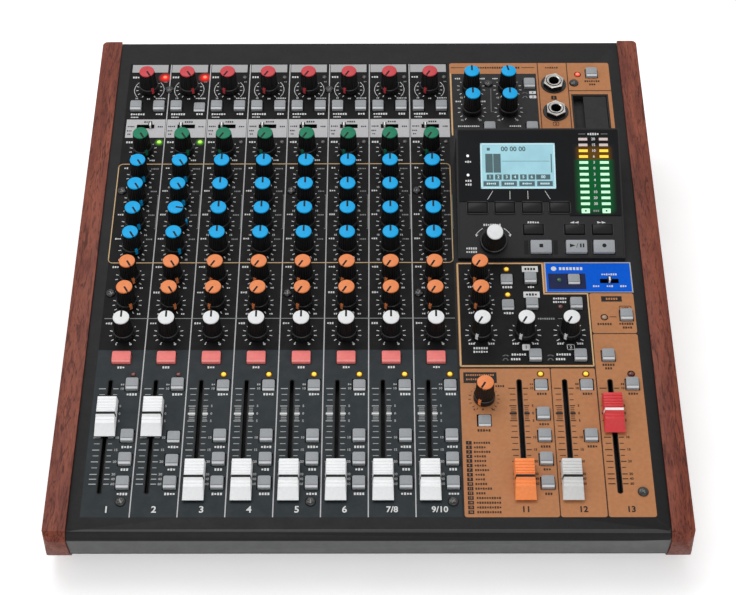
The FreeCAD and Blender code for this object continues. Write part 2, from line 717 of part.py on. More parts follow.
def circuit_boards():
    half = INNER_WIDTH / 2 - SEAM - CASE_WALL - BOARD_SIDE_GAP
    main = box(-half, half, BOARD_FRONT_MARGIN, DECK_LENGTH - BOARD_REAR_MARGIN,
               BOARD_TOP - BOARD_THICKNESS, BOARD_TOP)
    margin = HOUSING_WALL + BOARD_SIDE_GAP
    top = -HOUSING_WALL - SCREEN_DEPTH - SEAT
    display = box(HOUSING_LEFT + margin, HOUSING_RIGHT - margin, WINDOW_FRONT,
                  HOUSING_TOP_LENGTH - DISPLAY_BOARD_MARGIN, top - BOARD_THICKNESS, top)
    return Part.makeCompound([on_deck(main), on_housing(display)])


def potentiometers():
    bodies = []
    for x, y in turning_knob_places().values():
        bodies.append(on_deck(box_at(x, y, POT_WIDTH, POT_LENGTH, BOARD_TOP + SEAT, POT_TOP)))
    for name, x, raised in fader_places():
        bodies.append(on_deck(fader_track(x)))
    return Part.makeCompound(bodies)


def fader_track(x):
    """The slide potentiometer under a slot, with the groove that its lever runs in."""
    half = FADER_TRACK_WIDTH / 2
    gap = FADER_SLOT_WIDTH / 2
    top = -FADER_TRACK_DEPTH
    bottom = BOARD_TOP + SEAT
    floor = top - FADER_LEVER_DEPTH - KNOB_GAP
    outline = [(x - half, bottom), (x + half, bottom), (x + half, top), (x + gap, top), (x + gap, floor),
               (x - gap, floor), (x - gap, top), (x - half, top)]
    end = (FADER_TRAVEL + FADER_TRACK_SPARE) / 2
    return prism_along(outline, FADER_ROW - end, FADER_ROW + end)


# Knobs, faders, buttons and switches

def knob(x, y):
    profile = [(KNOB_SKIRT_RADIUS, KNOB_GAP), (KNOB_SKIRT_TOP_RADIUS, KNOB_SKIRT_HEIGHT),
               (KNOB_CAP_RADIUS, KNOB_HEIGHT)]
    return faceted(x, y, profile, KNOB_SIDE_COUNT)


def turning_knob(x, y):
    """A knob on its shaft, which goes down through the panel to its potentiometer."""
    shaft = faceted(x, y, [(SHAFT_RADIUS, POT_TOP + KNOB_GAP), (SHAFT_RADIUS, KNOB_SKIRT_HEIGHT)],
                    SHAFT_SIDE_COUNT)
    return knob(x, y).fuse(shaft)


def fixed_knobs(kinds):
    knobs = []
    for kind in kinds:
        for x, y in strip_row(STRIP_KNOBS[kind], 0.0, 1):
            knobs.append(on_deck(knob(x, y)))
    return Part.makeCompound(knobs)


def jog_dial():
    shaft = faceted(DIAL_X, DIAL_ROW, [(SHAFT_RADIUS, -HOUSING_WALL), (SHAFT_RADIUS, DIAL_FLANGE_HEIGHT)],
                    SHAFT_SIDE_COUNT)
    profile = [
        (DIAL_RADIUS, KNOB_GAP),
        (DIAL_RADIUS - KNOB_GAP, DIAL_FLANGE_HEIGHT),
        (DIAL_BODY_RADIUS, DIAL_FLANGE_HEIGHT + DIAL_EDGE),
        (DIAL_CAP_RADIUS + DIAL_EDGE / 2, DIAL_HEIGHT - DIAL_EDGE),
        (DIAL_CAP_RADIUS, DIAL_HEIGHT),
    ]
    return on_housing(faceted(DIAL_X, DIAL_ROW, profile, DIAL_SIDE_COUNT).fuse(shaft))


def fader_cap_outline():
    """The cap's side view, from its middle: ramp at the front, crest, and a ribbed rear half."""
    half = FADER_CAP_LENGTH / 2
    crest = FADER_CAP_HEIGHT
    return [(-half, FADER_CAP_GAP), (half, FADER_CAP_GAP), (half - 0.3, crest - 0.6), (half - 5.0, crest - 1.3),
            (1.2, crest - 0.5), (0.6, crest), (-0.6, crest), (-1.2, crest - 0.5), (-3.4, crest - 1.6),
            (-5.6, crest - 1.8), (-half, FADER_CAP_GAP + 0.4)]


def fader(x, y):
    half = FADER_CAP_WIDTH / 2
    outline = [(y + along, up) for along, up in fader_cap_outline()]
    cap = prism_across(outline, x - half, x + half)
    length = FADER_CAP_LENGTH
    top = FADER_CAP_HEIGHT + 1.0
    narrow = half - FADER_SIDE_DRAFT
    section = [(x - half, FADER_CAP_GAP), (x + half, FADER_CAP_GAP), (x + narrow, top), (x - narrow, top)]
    cap = cap.common(prism_along(section, y - length, y + length))
    lever = box_at(x, y, FADER_LEVER_THICKNESS, FADER_LEVER_LENGTH, -FADER_TRACK_DEPTH - FADER_LEVER_DEPTH,
                   FADER_CAP_GAP)
    return on_deck(cap.fuse(lever))


def button(x, y, width, length, height, root):
    """A push button with a chamfered front edge."""
    half = length / 2
    chamfer = BUTTON_CHAMFER
    outline = [(y - half, -root), (y + half, -root), (y + half, height), (y - half + chamfer, height),
               (y - half, height - chamfer)]
    return prism_across(outline, x - width / 2, x + width / 2)


def square_buttons(places, drop=0.0):
    buttons = [button(x, y, BUTTON_WIDTH, BUTTON_LENGTH, BUTTON_HEIGHT - drop, BUTTON_ROOT + drop)
               for x, y in places]
    return on_deck(Part.makeCompound(buttons))


def record_buttons():
    buttons = [button(x, y, RECORD_WIDTH, RECORD_LENGTH, BUTTON_HEIGHT, BUTTON_ROOT)
               for x, y in strip_row(RECORD_ROW)]
    return on_deck(Part.makeCompound(buttons))


def assign_switch_place():
    return in_column(MAIN_COLUMN, 13.1, SEND_A_ROW - 3.0)


def slider(x, y):
    """The nib of a slide switch, from its slide under the panel up through the slot."""
    return on_deck(box_at(x, y, NIB_WIDTH, SWITCH_SLOT_LENGTH - 2 * BUTTON_CLEARANCE, -NIB_ROOT, NIB_HEIGHT))


def mode_switches():
    sliders = [slider(x - SWITCH_TRAVEL / 2, y) for x, y in strip_row(MODE_ROW, 0.0, 1)]
    return Part.makeCompound(sliders)


def mode_switch_1():
    return slider(column_middle(0) + SWITCH_TRAVEL / 2, MODE_ROW)


# Display housing

def housing_outline():
    """The housing's side view in deck coordinates."""
    tilt = math.radians(HOUSING_TILT)
    run = HOUSING_TOP_LENGTH * math.cos(tilt)
    rise = HOUSING_TOP_LENGTH * math.sin(tilt)
    back = HOUSING_FRONT + run
    return [(HOUSING_FRONT, SEAT), (HOUSING_FRONT, HOUSING_FRONT_HEIGHT), (back, HOUSING_FRONT_HEIGHT + rise),
            (back + HOUSING_BACK_LEAN, SEAT)]


def display_housing():
    bottom_front, top_front, top_back, bottom_back = housing_outline()
    shell = prism_across(housing_outline(), HOUSING_LEFT, HOUSING_RIGHT)
    wall = HOUSING_WALL
    tilt = math.radians(HOUSING_TILT)
    under_top = top_front[1] - wall / math.cos(tilt)
    front = HOUSING_FRONT + (SEAT - under_top) / math.tan(tilt)
    back = top_back[0] - wall
    roof = under_top + (back - HOUSING_FRONT) * math.tan(tilt)
    hollow = [(front, -SHEET), (front, SEAT), (back, roof), (bottom_back[0] - wall, SEAT),
              (bottom_back[0] - wall, -SHEET)]
    shell = shell.cut(prism_across(hollow, HOUSING_LEFT + wall, HOUSING_RIGHT - wall))
    holes = [on_housing(hole) for hole in housing_holes()]
    return on_deck(shell).cut(Part.makeCompound(holes))


def screen_opening(bottom, top):
    return box(SCREEN_LEFT - SEAM, SCREEN_RIGHT + SEAM, SCREEN_FRONT - SEAM, SCREEN_BACK + SEAM, bottom, top)


def housing_holes():
    top = WINDOW_THICKNESS
    holes = [screen_opening(-HOUSING_WALL - SCREEN_DEPTH, top)]
    spare = 2 * KEY_CLEARANCE
    for x, y, width, length, height in key_places():
        holes.append(box_at(x, y, width + spare, length + spare, -KEY_ROOT - HOUSING_WALL, top))
    radius = SHAFT_RADIUS + SHAFT_CLEARANCE
    holes.append(faceted(DIAL_X, DIAL_ROW, [(radius, -2 * HOUSING_WALL), (radius, top)], SHAFT_SIDE_COUNT))
    return holes


def key_places():
    """Each key as x, y, width, length and height on the housing's top."""
    keys = []
    for index in range(SOFT_KEY_COUNT):
        x = HOUSING_LEFT + SOFT_KEY_OFFSET + index * SOFT_KEY_PITCH
        keys.append((x, SOFT_KEY_ROW, KEY_WIDTH, KEY_LENGTH, KEY_HEIGHT))
    for offset in MENU_KEY_OFFSETS:
        keys.append((HOUSING_RIGHT - offset, MENU_KEY_ROW, KEY_WIDTH, KEY_LENGTH, KEY_HEIGHT))
    for offset in TRANSPORT_OFFSETS:
        keys.append((HOUSING_RIGHT - offset, TRANSPORT_ROW, TRANSPORT_WIDTH, TRANSPORT_LENGTH,
                     TRANSPORT_HEIGHT))
    return keys


def display_keys():
    keys = []
    for x, y, width, length, height in key_places():
        front = y - length / 2
        back = y + length / 2
        outline = [(front, -KEY_ROOT), (back, -KEY_ROOT), (back, height), (front + KEY_EDGE, height),
                   (front, height - KEY_EDGE)]
        keys.append(prism_across(outline, x - width / 2, x + width / 2))
    return on_housing(Part.makeCompound(keys))


def display_window():
    left = HOUSING_LEFT + WINDOW_MARGIN
    right = HOUSING_RIGHT - WINDOW_MARGIN
    meter = right - WINDOW_METER_WIDTH
    back = HOUSING_TOP_LENGTH - WINDOW_BACK_MARGIN
    outline = [(left, WINDOW_FRONT), (meter, WINDOW_FRONT), (meter, WINDOW_METER_FRONT),
               (right, WINDOW_METER_FRONT), (right, back), (left, back)]
    sheet = prism_up(outline, SEAT / 2, WINDOW_THICKNESS)
    return on_housing(sheet.cut(screen_opening(-HOUSING_WALL, HOUSING_WALL)))


def lcd_screen():
    return on_housing(box(SCREEN_LEFT, SCREEN_RIGHT, SCREEN_FRONT, SCREEN_BACK,
                          -HOUSING_WALL - SCREEN_DEPTH, WINDOW_THICKNESS - SEAT))


# Headphone jacks and card cover

def nut_corner():
    return NUT_ACROSS_FLATS / 2 / math.cos(math.pi / 6)


def headphone_jack(x, y):
    """A panel jack: washer, hexagon nut, neck through the panel, body below and a blind bore."""
    washer = faceted(x, y, [(WASHER_RADIUS, SEAT), (WASHER_RADIUS, WASHER_HEIGHT)], WASHER_SIDE_COUNT)
    nut = faceted(x, y, [(nut_corner(), 2 * POT_TOP), (nut_corner(), NUT_HEIGHT)], 6)
    body = box_at(x, y, JACK_BODY, JACK_BODY, BOARD_TOP + SEAT, POT_TOP)
    bore = Part.makeCylinder(JACK_BORE, JACK_BORE_DEPTH, Vector(x, y, NUT_HEIGHT - JACK_BORE_DEPTH))
    return washer.fuse([nut, body]).cut(bore).removeSplitter()


def headphone_jacks():
    return on_deck(Part.makeCompound([headphone_jack(JACK_X, y) for y in JACK_ROWS]))


def card_recess():
    """The tray under the cover, with the slot that a card goes in."""
    left = CARD_LEFT + SEAM
    right = CARD_RIGHT - SEAM
    front = CARD_FRONT + SEAM
    back = CARD_BACK - SEAM
    wall = CARD_WALL
    tray = box(left, right, front, back, -CARD_RECESS - wall, -SEAM)
    tray = tray.cut(box(left + wall, right - wall, front + wall, back - wall, -CARD_RECESS, SHEET))
    slot = box_at((CARD_LEFT + CARD_GRIP + CARD_RIGHT) / 2, (front + back) / 2, CARD_SLOT_WIDTH,
                  CARD_SLOT_LENGTH, -CARD_RECESS - 2 * wall, -CARD_RECESS + wall)
    return on_deck(tray.cut(slot))


def card_cover():
    margin = SEAM + CARD_WALL + CARD_CLEARANCE
    top = -CARD_COVER_SUNK
    return on_deck(box(CARD_LEFT + CARD_GRIP, CARD_RIGHT - margin, CARD_FRONT + margin, CARD_BACK - margin,
                       top - CARD_COVER_THICKNESS, top))


# Rear wall: x is as on the desk, and the height is drawn as minus y

def combination_socket_places():
    return [(column_middle(strip), SOCKET_ROW_HEIGHT) for strip in range(STRIPS)]


def line_jack_places():
    """Two output jacks beside the combination sockets, and two send jacks under them."""
    columns = (MASTER_COLUMN, EFFECT_COLUMN)
    return [(column_middle(column), height)
            for height in (SOCKET_ROW_HEIGHT, JACK_ROW_HEIGHT) for column in columns]


def rear_box(x, height, width, tall, z0, z1):
    return box_at(x, -height, width, tall, z0, z1)


def rear_holes():
    """Cutters for the rear wall: each body's own opening with a seam round it."""
    deep = -2 * CASE_WALL
    out = CASE_WALL
    spare = 2 * SEAM
    holes = []
    for x, height in combination_socket_places():
        holes.append(rear_box(x, height, SOCKET_BODY + spare, SOCKET_BODY + spare, deep, out))
    for x, height in line_jack_places():
        holes.append(rear_box(x, height, LINE_JACK_BODY + spare, LINE_JACK_BODY + spare, deep, out))
    holes.append(rear_box(column_middle(SUB_COLUMN), JACK_ROW_HEIGHT, DATA_WIDTH + spare, DATA_HEIGHT + spare,
                          deep, out))
    holes.append(rear_box(INLET_X, JACK_ROW_HEIGHT, INLET_BODY + spare, INLET_BODY + spare, deep, out))
    width, height = rocker_body_size()
    holes.append(rear_box(POWER_X, SOCKET_ROW_HEIGHT, width + spare, height + spare, deep, out))
    return holes


def round_socket(x, height, bore, body, flange_width, flange_height, depth, thickness):
    """A socket body through the wall with a flange outside and a blind bore."""
    inside = rear_box(x, height, body, body, -depth, thickness / 2)
    plate = rear_box(x, height, flange_width, flange_height, SEAT, thickness)
    hole = Part.makeCylinder(bore, depth - SOCKET_FLOOR + thickness, Vector(x, -height, -depth + SOCKET_FLOOR))
    return inside.fuse(plate).cut(hole)


def rear_sockets():
    sockets = []
    for x, height in combination_socket_places():
        sockets.append(round_socket(x, height, SOCKET_BORE, SOCKET_BODY, FLANGE_WIDTH, FLANGE_HEIGHT,
                                    SOCKET_DEPTH, FLANGE_THICKNESS))
    for x, height in line_jack_places():
        sockets.append(round_socket(x, height, LINE_JACK_BORE, LINE_JACK_BODY, LINE_FLANGE, LINE_FLANGE,
                                    SOCKET_DEPTH, LINE_FLANGE_THICKNESS))
    sockets.append(data_socket())
    sockets.append(power_inlet())
    sockets.append(switch_frame())
    return on_rear(Part.makeCompound(sockets))


def data_socket():
    x = column_middle(SUB_COLUMN)
    body = rear_box(x, JACK_ROW_HEIGHT, DATA_WIDTH, DATA_HEIGHT, -DATA_DEPTH, DATA_SHELL)
    hollow = rear_box(x, JACK_ROW_HEIGHT, DATA_WIDTH - 2 * DATA_SHELL, DATA_HEIGHT - 2 * DATA_SHELL,
                      -DATA_DEPTH + DATA_SHELL, 2 * DATA_SHELL)
    return body.cut(hollow)


def power_inlet():
    """A low-voltage inlet: its body, a flange outside, a round hollow and a centre pin."""
    x = INLET_X
    out = LINE_FLANGE_THICKNESS
    inside = rear_box(x, JACK_ROW_HEIGHT, INLET_BODY, INLET_BODY, -INLET_DEPTH, out / 2)
    plate = rear_box(x, JACK_ROW_HEIGHT, INLET_FLANGE, INLET_FLANGE, SEAT, out)
    floor = -INLET_DEPTH + SOCKET_FLOOR
    hollow = faceted(x, -JACK_ROW_HEIGHT, [(INLET_BORE, floor), (INLET_BORE, 2 * out)], INLET_SIDE_COUNT)
    pin = faceted(x, -JACK_ROW_HEIGHT, [(INLET_PIN, floor - SEAM), (INLET_PIN, -INLET_PIN)], INLET_PIN_SIDE_COUNT)
    return inside.fuse(plate).cut(hollow).fuse(pin)


def rocker_body_size():
    """The switch body's width and height: its pocket and a frame round it."""
    width = ROCKER_WIDTH + 2 * ROCKER_CLEARANCE + 2 * ROCKER_FRAME
    height = ROCKER_HEIGHT + 2 * ROCKER_END_CLEARANCE + 2 * ROCKER_FRAME
    return width, height


def switch_frame():
    width, height = rocker_body_size()
    rim = rear_box(POWER_X, SOCKET_ROW_HEIGHT, width + ROCKER_RIM, height + ROCKER_RIM, SEAT,
                   LINE_FLANGE_THICKNESS)
    body = rear_box(POWER_X, SOCKET_ROW_HEIGHT, width, height, -ROCKER_FRAME_DEPTH, LINE_FLANGE_THICKNESS / 2)
    pocket = rear_box(POWER_X, SOCKET_ROW_HEIGHT, ROCKER_WIDTH + 2 * ROCKER_CLEARANCE,
                      ROCKER_HEIGHT + 2 * ROCKER_END_CLEARANCE, -ROCKER_FRAME_DEPTH + SOCKET_FLOOR,
                      2 * LINE_FLANGE_THICKNESS)
    return rim.fuse(body).cut(pocket)


def power_switch():
    """A rocker with two faces that meet in a shallow valley over its pivot."""
    half = ROCKER_HEIGHT / 2
    middle = -SOCKET_ROW_HEIGHT
    face = SEAM
    raised = face + half * math.tan(math.radians(ROCKER_SWING))
    root = -ROCKER_PIVOT_DEPTH
    outline = [(middle - half, root), (middle, 2 * root), (middle + half, root), (middle + half, face),
               (middle, face), (middle - half, raised)]
    rocker = prism_across(outline, POWER_X - ROCKER_WIDTH / 2, POWER_X + ROCKER_WIDTH / 2)
    return on_rear(rocker)


def nodes():
    """Every node by name."""
    made = {
        "bottom_case": bottom_case(),
        "top_panel": top_panel(),
        "left_cheek": cheek(-1),
        "right_cheek": cheek(1),
        "display_housing": display_housing(),
        "display_window": display_window(),
        "lcd_screen": lcd_screen(),
        "circuit_boards": circuit_boards(),
        "potentiometers": potentiometers(),
        "rear_sockets": rear_sockets(),
        "headphone_jacks": headphone_jacks(),
        "card_recess": card_recess(),
        "rubber_feet": rubber_feet(),
        "panel_screws": panel_screws(),
        "indicator_lights": indicator_lights(),
        "jog_dial": jog_dial(),
        "upper_buttons": square_buttons(upper_button_places()),
        "record_buttons": record_buttons(),
        "fader_buttons": square_buttons(fader_button_places()),
        "latched_buttons": square_buttons(latched_button_places(), BUTTON_LATCH),
        "master_buttons": square_buttons(master_button_places()),
        "display_keys": display_keys(),
        "mode_switches": mode_switches(),
        "mode_switch_1": mode_switch_1(),
        "assign_switch": slider(*assign_switch_place()),
        "power_switch": power_switch(),
        "card_cover": card_cover(),
    }
    for name, kinds in FIXED_KNOBS.items():
        made[name] = fixed_knobs(kinds)
    for name, (x, y) in turning_knob_places().items():
        made[name] = on_deck(turning_knob(x, y))
    for name, x, raised in fader_places():
        made[name] = fader(x, FADER_BOTTOM + raised)
    return made


def main():
    os.makedirs("parts", exist_ok=True)
    for name, shape in nodes().items():
        shape.exportStep("parts/%s.step" % name)


main()
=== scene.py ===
import bmesh
import bpy
import json
import math
import random
from mathutils import Matrix, Vector

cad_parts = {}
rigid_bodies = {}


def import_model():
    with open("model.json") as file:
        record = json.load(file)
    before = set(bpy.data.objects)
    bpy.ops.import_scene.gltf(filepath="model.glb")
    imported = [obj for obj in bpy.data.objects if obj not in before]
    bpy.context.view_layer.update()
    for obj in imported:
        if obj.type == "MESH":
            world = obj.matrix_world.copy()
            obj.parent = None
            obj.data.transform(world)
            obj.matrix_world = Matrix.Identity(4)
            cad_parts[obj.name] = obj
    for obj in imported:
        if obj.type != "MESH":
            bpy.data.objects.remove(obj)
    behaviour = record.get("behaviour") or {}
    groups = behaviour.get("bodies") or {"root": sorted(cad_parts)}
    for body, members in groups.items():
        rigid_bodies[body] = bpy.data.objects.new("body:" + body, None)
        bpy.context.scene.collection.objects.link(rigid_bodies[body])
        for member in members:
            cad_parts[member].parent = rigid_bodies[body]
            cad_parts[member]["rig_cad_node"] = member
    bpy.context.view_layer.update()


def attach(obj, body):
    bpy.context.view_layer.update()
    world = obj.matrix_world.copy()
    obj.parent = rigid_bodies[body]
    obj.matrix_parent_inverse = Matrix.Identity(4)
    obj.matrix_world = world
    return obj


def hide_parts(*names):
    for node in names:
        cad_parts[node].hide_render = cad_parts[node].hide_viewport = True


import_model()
random.seed(12)

# Lengths below are millimetres unless a line says otherwise
MM = 0.001

# The case and its three working surfaces
COLUMN_PITCH = 25.25
STRIPS = 8
LEFT_END = -151.5
DECK_TILT = 8.4
DECK_FRONT_Y = -175.7247
FRONT_EDGE_HEIGHT = 35.0
HOUSING_FRONT = 181.0
HOUSING_RISE = 2.0
HOUSING_TILT = 17.7
REAR_WALL_Y = 177.7242
EFFECT = STRIPS + 1
SUB = STRIPS + 2
MAIN = STRIPS + 3

# Heights of the printed layers over the paint
FIELD_LIFT = 0.04
BOX_LIFT = 0.08
PATCH_LIFT = 0.12
INK_LIFT = 0.16

# Rows up the deck
GAIN_ROW = 318.95
TOP_BUTTON_ROW = 303.65
MODE_ROW = 287.05
COMPRESSOR_ROW = 267.25
EQUALISER_ROWS = (245.65, 227.1, 208.55, 190.0)
SEND_ROWS = (168.4, 149.7)
PAN_ROW = 128.1
RECORD_ROW = 111.0
MUTE_ROW = 92.9
ASSIGN_ROWS = (59.0, 44.1, 29.2)
FADER_REST = 29.6

# Places across a strip, from its left edge or its middle
FADER_OFFSET = 7.9
BUTTON_OFFSET = 20.1
TOP_BUTTON_OFFSET = 7.2
SWITCH_HALF_TRAVEL = 3.15

# How far a raised fader stands from the low end of its travel
RAISED = 40.3
MAIN_RAISED = 42.4

# The printed area of the strips, and the columns and rows of the master knobs
PRINT_LEFT = -152.4
PRINT_RIGHT = 49.6
PRINT_FRONT = 8.4
PRINT_BACK = 341.0
TONE_COLUMNS = (64.15, 87.05)
TONE_FRONT_ROW = 299.85
MONITOR_COLUMN = 63.85
HEADPHONE_COLUMNS = (88.65, 113.9)
EFFECT_ROW = 83.7
DIAL_PLACE = (73.0, 10.3)
JACK_COLUMN = 116.3
JACK_ROWS = (298.85, 322.35)

# Knobs, caps and keys
KNOB_SIDES = 96
FADER_HALF = 5.75
BUTTON_HALF = 3.45
BUTTON_TOP = 2.5
LATCHED_TOP = 0.4
RECORD_HALF = 5.25

DECK = Matrix.Translation((0, DECK_FRONT_Y * MM, FRONT_EDGE_HEIGHT * MM)) @ Matrix.Rotation(
    math.radians(DECK_TILT), 4, "X")
HOUSING = DECK @ Matrix.Translation((0, HOUSING_FRONT * MM, HOUSING_RISE * MM)) @ Matrix.Rotation(
    math.radians(HOUSING_TILT), 4, "X")
REAR = Matrix.Translation((0, REAR_WALL_Y * MM, 0)) @ Matrix.Rotation(math.radians(-90), 4, "X")


def column_left(column):
    return LEFT_END + column * COLUMN_PITCH


def column_middle(column):
    return column_left(column) + COLUMN_PITCH / 2


def at(place, x, y, z=0.0, turn=0.0):
    """A place on one of the surfaces, turned clockwise by degrees as seen from above it."""
    return place @ Matrix.Translation((x * MM, y * MM, z * MM)) @ Matrix.Rotation(math.radians(-turn), 4, "Z")


# Camera, from the fit of the photograph

def add_camera():
    turn = (Matrix.Rotation(math.radians(0.0930), 3, "Z") @ Matrix.Rotation(math.radians(0.3373), 3, "Y")
            @ Matrix.Rotation(math.radians(37.1028), 3, "X"))
    right = Vector((turn[0][0], turn[0][1], -turn[0][2]))
    up = Vector((turn[1][0], turn[1][1], -turn[1][2]))
    back = -Vector((turn[2][0], turn[2][1], -turn[2][2]))
    stand = Matrix((right, up, back)).transposed().to_4x4()
    stand.translation = Vector((5.666, -473.80, 829.72)) * MM
    data = bpy.data.cameras.new("camera")
    data.sensor_width = 36.0
    data.lens = 88.35
    camera = bpy.data.objects.new("camera", data)
    bpy.context.scene.collection.objects.link(camera)
    camera.matrix_world = DECK @ stand
    bpy.context.scene.camera = camera


# Materials

def linear(red, green, blue):
    """A screen colour from 0 to 255, as the linear values that a shader takes."""
    values = []
    for channel in (red, green, blue):
        share = channel / 255
        values.append(share / 12.92 if share <= 0.04045 else ((share + 0.055) / 1.055) ** 2.4)
    return values


def shade(colour, factor):
    return [min(1.0, channel * factor) for channel in colour] + [1.0]


def parts_of(material):
    """The material, its nodes, its links and its main shader."""
    material.use_nodes = True
    tree = material.node_tree
    return material, tree.nodes, tree.links, tree.nodes["Principled BSDF"]


def add_bump(nodes, links, shader, height, strength, distance):
    relief = nodes.new("ShaderNodeBump")
    relief.inputs["Strength"].default_value = strength
    relief.inputs["Distance"].default_value = distance
    links.new(height, relief.inputs["Height"])
    links.new(relief.outputs["Normal"], shader.inputs["Normal"])


def noise(nodes, links, scale, detail=4.0, stretch=(1, 1, 1), wave=0.0):
    """A noise value over the object, finer along the larger numbers of stretch, and bent by the wave."""
    coordinates = nodes.new("ShaderNodeTexCoord")
    mapping = nodes.new("ShaderNodeMapping")
    mapping.inputs["Scale"].default_value = stretch
    texture = nodes.new("ShaderNodeTexNoise")
    texture.inputs["Scale"].default_value = scale
    texture.inputs["Detail"].default_value = detail
    texture.inputs["Distortion"].default_value = wave
    links.new(coordinates.outputs["Object"], mapping.inputs["Vector"])
    links.new(mapping.outputs["Vector"], texture.inputs["Vector"])
    return texture.outputs["Fac"]


def between(nodes, links, value, low, high, start=0.35, end=0.65):
    """The value spread from low to high."""
    spread = nodes.new("ShaderNodeMapRange")
    spread.inputs["From Min"].default_value = start
    spread.inputs["From Max"].default_value = end
    spread.inputs["To Min"].default_value = low
    spread.inputs["To Max"].default_value = high
    links.new(value, spread.inputs["Value"])
    return spread.outputs["Result"]


def blended(nodes, links, value, first, second):
    mix = nodes.new("ShaderNodeMix")
    mix.data_type = "RGBA"
    links.new(value, mix.inputs["Factor"])
    for socket, colour in (("A", first), ("B", second)):
        target = [entry for entry in mix.inputs if entry.name == socket and entry.type == "RGBA"][0]
        if isinstance(colour, (list, tuple)):
            target.default_value = colour
        else:
            links.new(colour, target)
    return [entry for entry in mix.outputs if entry.type == "RGBA"][0]


def finish(name, rgb, roughness, spread=0.10, grain=700.0, bump=0.03, bump_grain=2600.0, specular=0.3,
           glow=0.0, metallic=0.0, coat=0.0):
    """A finish with fine variation in its colour and gloss, and a fine bump."""
    material, nodes, links, shader = parts_of(bpy.data.materials.new(name))
    colour = linear(*rgb)
    value = noise(nodes, links, grain)
    mixed = blended(nodes, links, between(nodes, links, value, 0.0, 1.0), shade(colour, 1 - spread),
                    shade(colour, 1 + spread))
    links.new(mixed, shader.inputs["Base Color"])
    links.new(between(nodes, links, noise(nodes, links, grain * 0.31), roughness - 0.05, roughness + 0.05),
              shader.inputs["Roughness"])
    shader.inputs["Metallic"].default_value = metallic
    shader.inputs["Specular IOR Level"].default_value = specular
    shader.inputs["Coat Weight"].default_value = coat
    shader.inputs["Coat Roughness"].default_value = 0.12
    if glow:
        links.new(mixed, shader.inputs["Emission Color"])
        shader.inputs["Emission Strength"].default_value = glow
    add_bump(nodes, links, shader, noise(nodes, links, bump_grain, 2.0), bump, 0.0002)
    return material


def wood():
    """Reddish hardwood: wavy dark streaks along the grain, fine pores, and a thin satin coat."""
    material, nodes, links, shader = parts_of(bpy.data.materials.new("wood"))
    band = noise(nodes, links, 34.0, 4.0, (3.4, 0.22, 3.4), 1.4)
    streak = noise(nodes, links, 120.0, 6.0, (4.2, 0.16, 4.2), 1.8)
    pore = noise(nodes, links, 700.0, 3.0, (3.0, 0.07, 3.0))
    base = blended(nodes, links, between(nodes, links, band, 0.0, 1.0, 0.3, 0.7),
                   shade(linear(102, 44, 30), 1.0), shade(linear(142, 74, 54), 1.0))
    dark = blended(nodes, links, between(nodes, links, streak, 0.0, 0.85, 0.50, 0.66), base,
                   shade(linear(64, 25, 17), 1.0))
    full = blended(nodes, links, between(nodes, links, pore, 0.0, 0.6, 0.55, 0.70), dark,
                   shade(linear(48, 20, 15), 1.0))
    links.new(full, shader.inputs["Base Color"])
    links.new(between(nodes, links, streak, 0.38, 0.55), shader.inputs["Roughness"])
    shader.inputs["Specular IOR Level"].default_value = 0.18
    shader.inputs["Coat Weight"].default_value = 0.05
    shader.inputs["Coat Roughness"].default_value = 0.3
    add_bump(nodes, links, shader, pore, 0.25, 0.0003)
    return material


def halo(name, inner, outer, reach):
    """A lit ring on the paint round a lamp, fading out at its reach in millimetres."""
    material, nodes, links, shader = parts_of(finish(name, outer, 0.5, 0.1, 500.0, 0.05, 3000.0, 0.15))
    coordinates = nodes.new("ShaderNodeTexCoord")
    distance = nodes.new("ShaderNodeVectorMath")
    distance.operation = "LENGTH"
    links.new(coordinates.outputs["Object"], distance.inputs[0])
    fade = between(nodes, links, distance.outputs["Value"], 0.0, 1.0, 1.2 * MM, reach * MM)
    mixed = blended(nodes, links, fade, shade(linear(*inner), 1.0), shade(linear(*outer), 1.0))
    links.new(mixed, shader.inputs["Base Color"])
    links.new(mixed, shader.inputs["Emission Color"])
    links.new(between(nodes, links, distance.outputs["Value"], 0.6, 0.0, 1.2 * MM, reach * MM),
              shader.inputs["Emission Strength"])
    return material


def glow_patch(name, inner, centre, half, reach):
    """Lit glass round the meter: lit inside a box in millimetres, and fading to the window at its reach."""
    material, nodes, links, shader = parts_of(finish(name, inner, 0.4, specular=0.1))
    coordinates = nodes.new("ShaderNodeTexCoord")
    parts = nodes.new("ShaderNodeSeparateXYZ")
    links.new(coordinates.outputs["Object"], parts.inputs["Vector"])
    spare = []
    for axis, middle, size in (("X", centre[0], half[0]), ("Y", centre[1], half[1])):
        value = parts.outputs[axis]
        for operation, number in (("SUBTRACT", middle * MM), ("ABSOLUTE", 0.0), ("SUBTRACT", size * MM),
                                  ("MAXIMUM", 0.0), ("POWER", 2.0)):
            value = calculated(nodes, links, operation, value, number)
        spare.append(value)
    outside = calculated(nodes, links, "SQRT", calculated(nodes, links, "ADD", spare[0], spare[1]), 0.0)
    fade = between(nodes, links, outside, 0.0, 1.0, 0.0, reach * MM)
    mixed = blended(nodes, links, fade, shade(linear(*inner), 1.0), shade(linear(18, 19, 21), 1.0))
    links.new(mixed, shader.inputs["Base Color"])
    return material


def calculated(nodes, links, operation, first, second):
    step = nodes.new("ShaderNodeMath")
    step.operation = operation
    links.new(first, step.inputs[0])
    if isinstance(second, float):
        step.inputs[1].default_value = second
    else:
        links.new(second, step.inputs[1])
    return step.outputs["Value"]


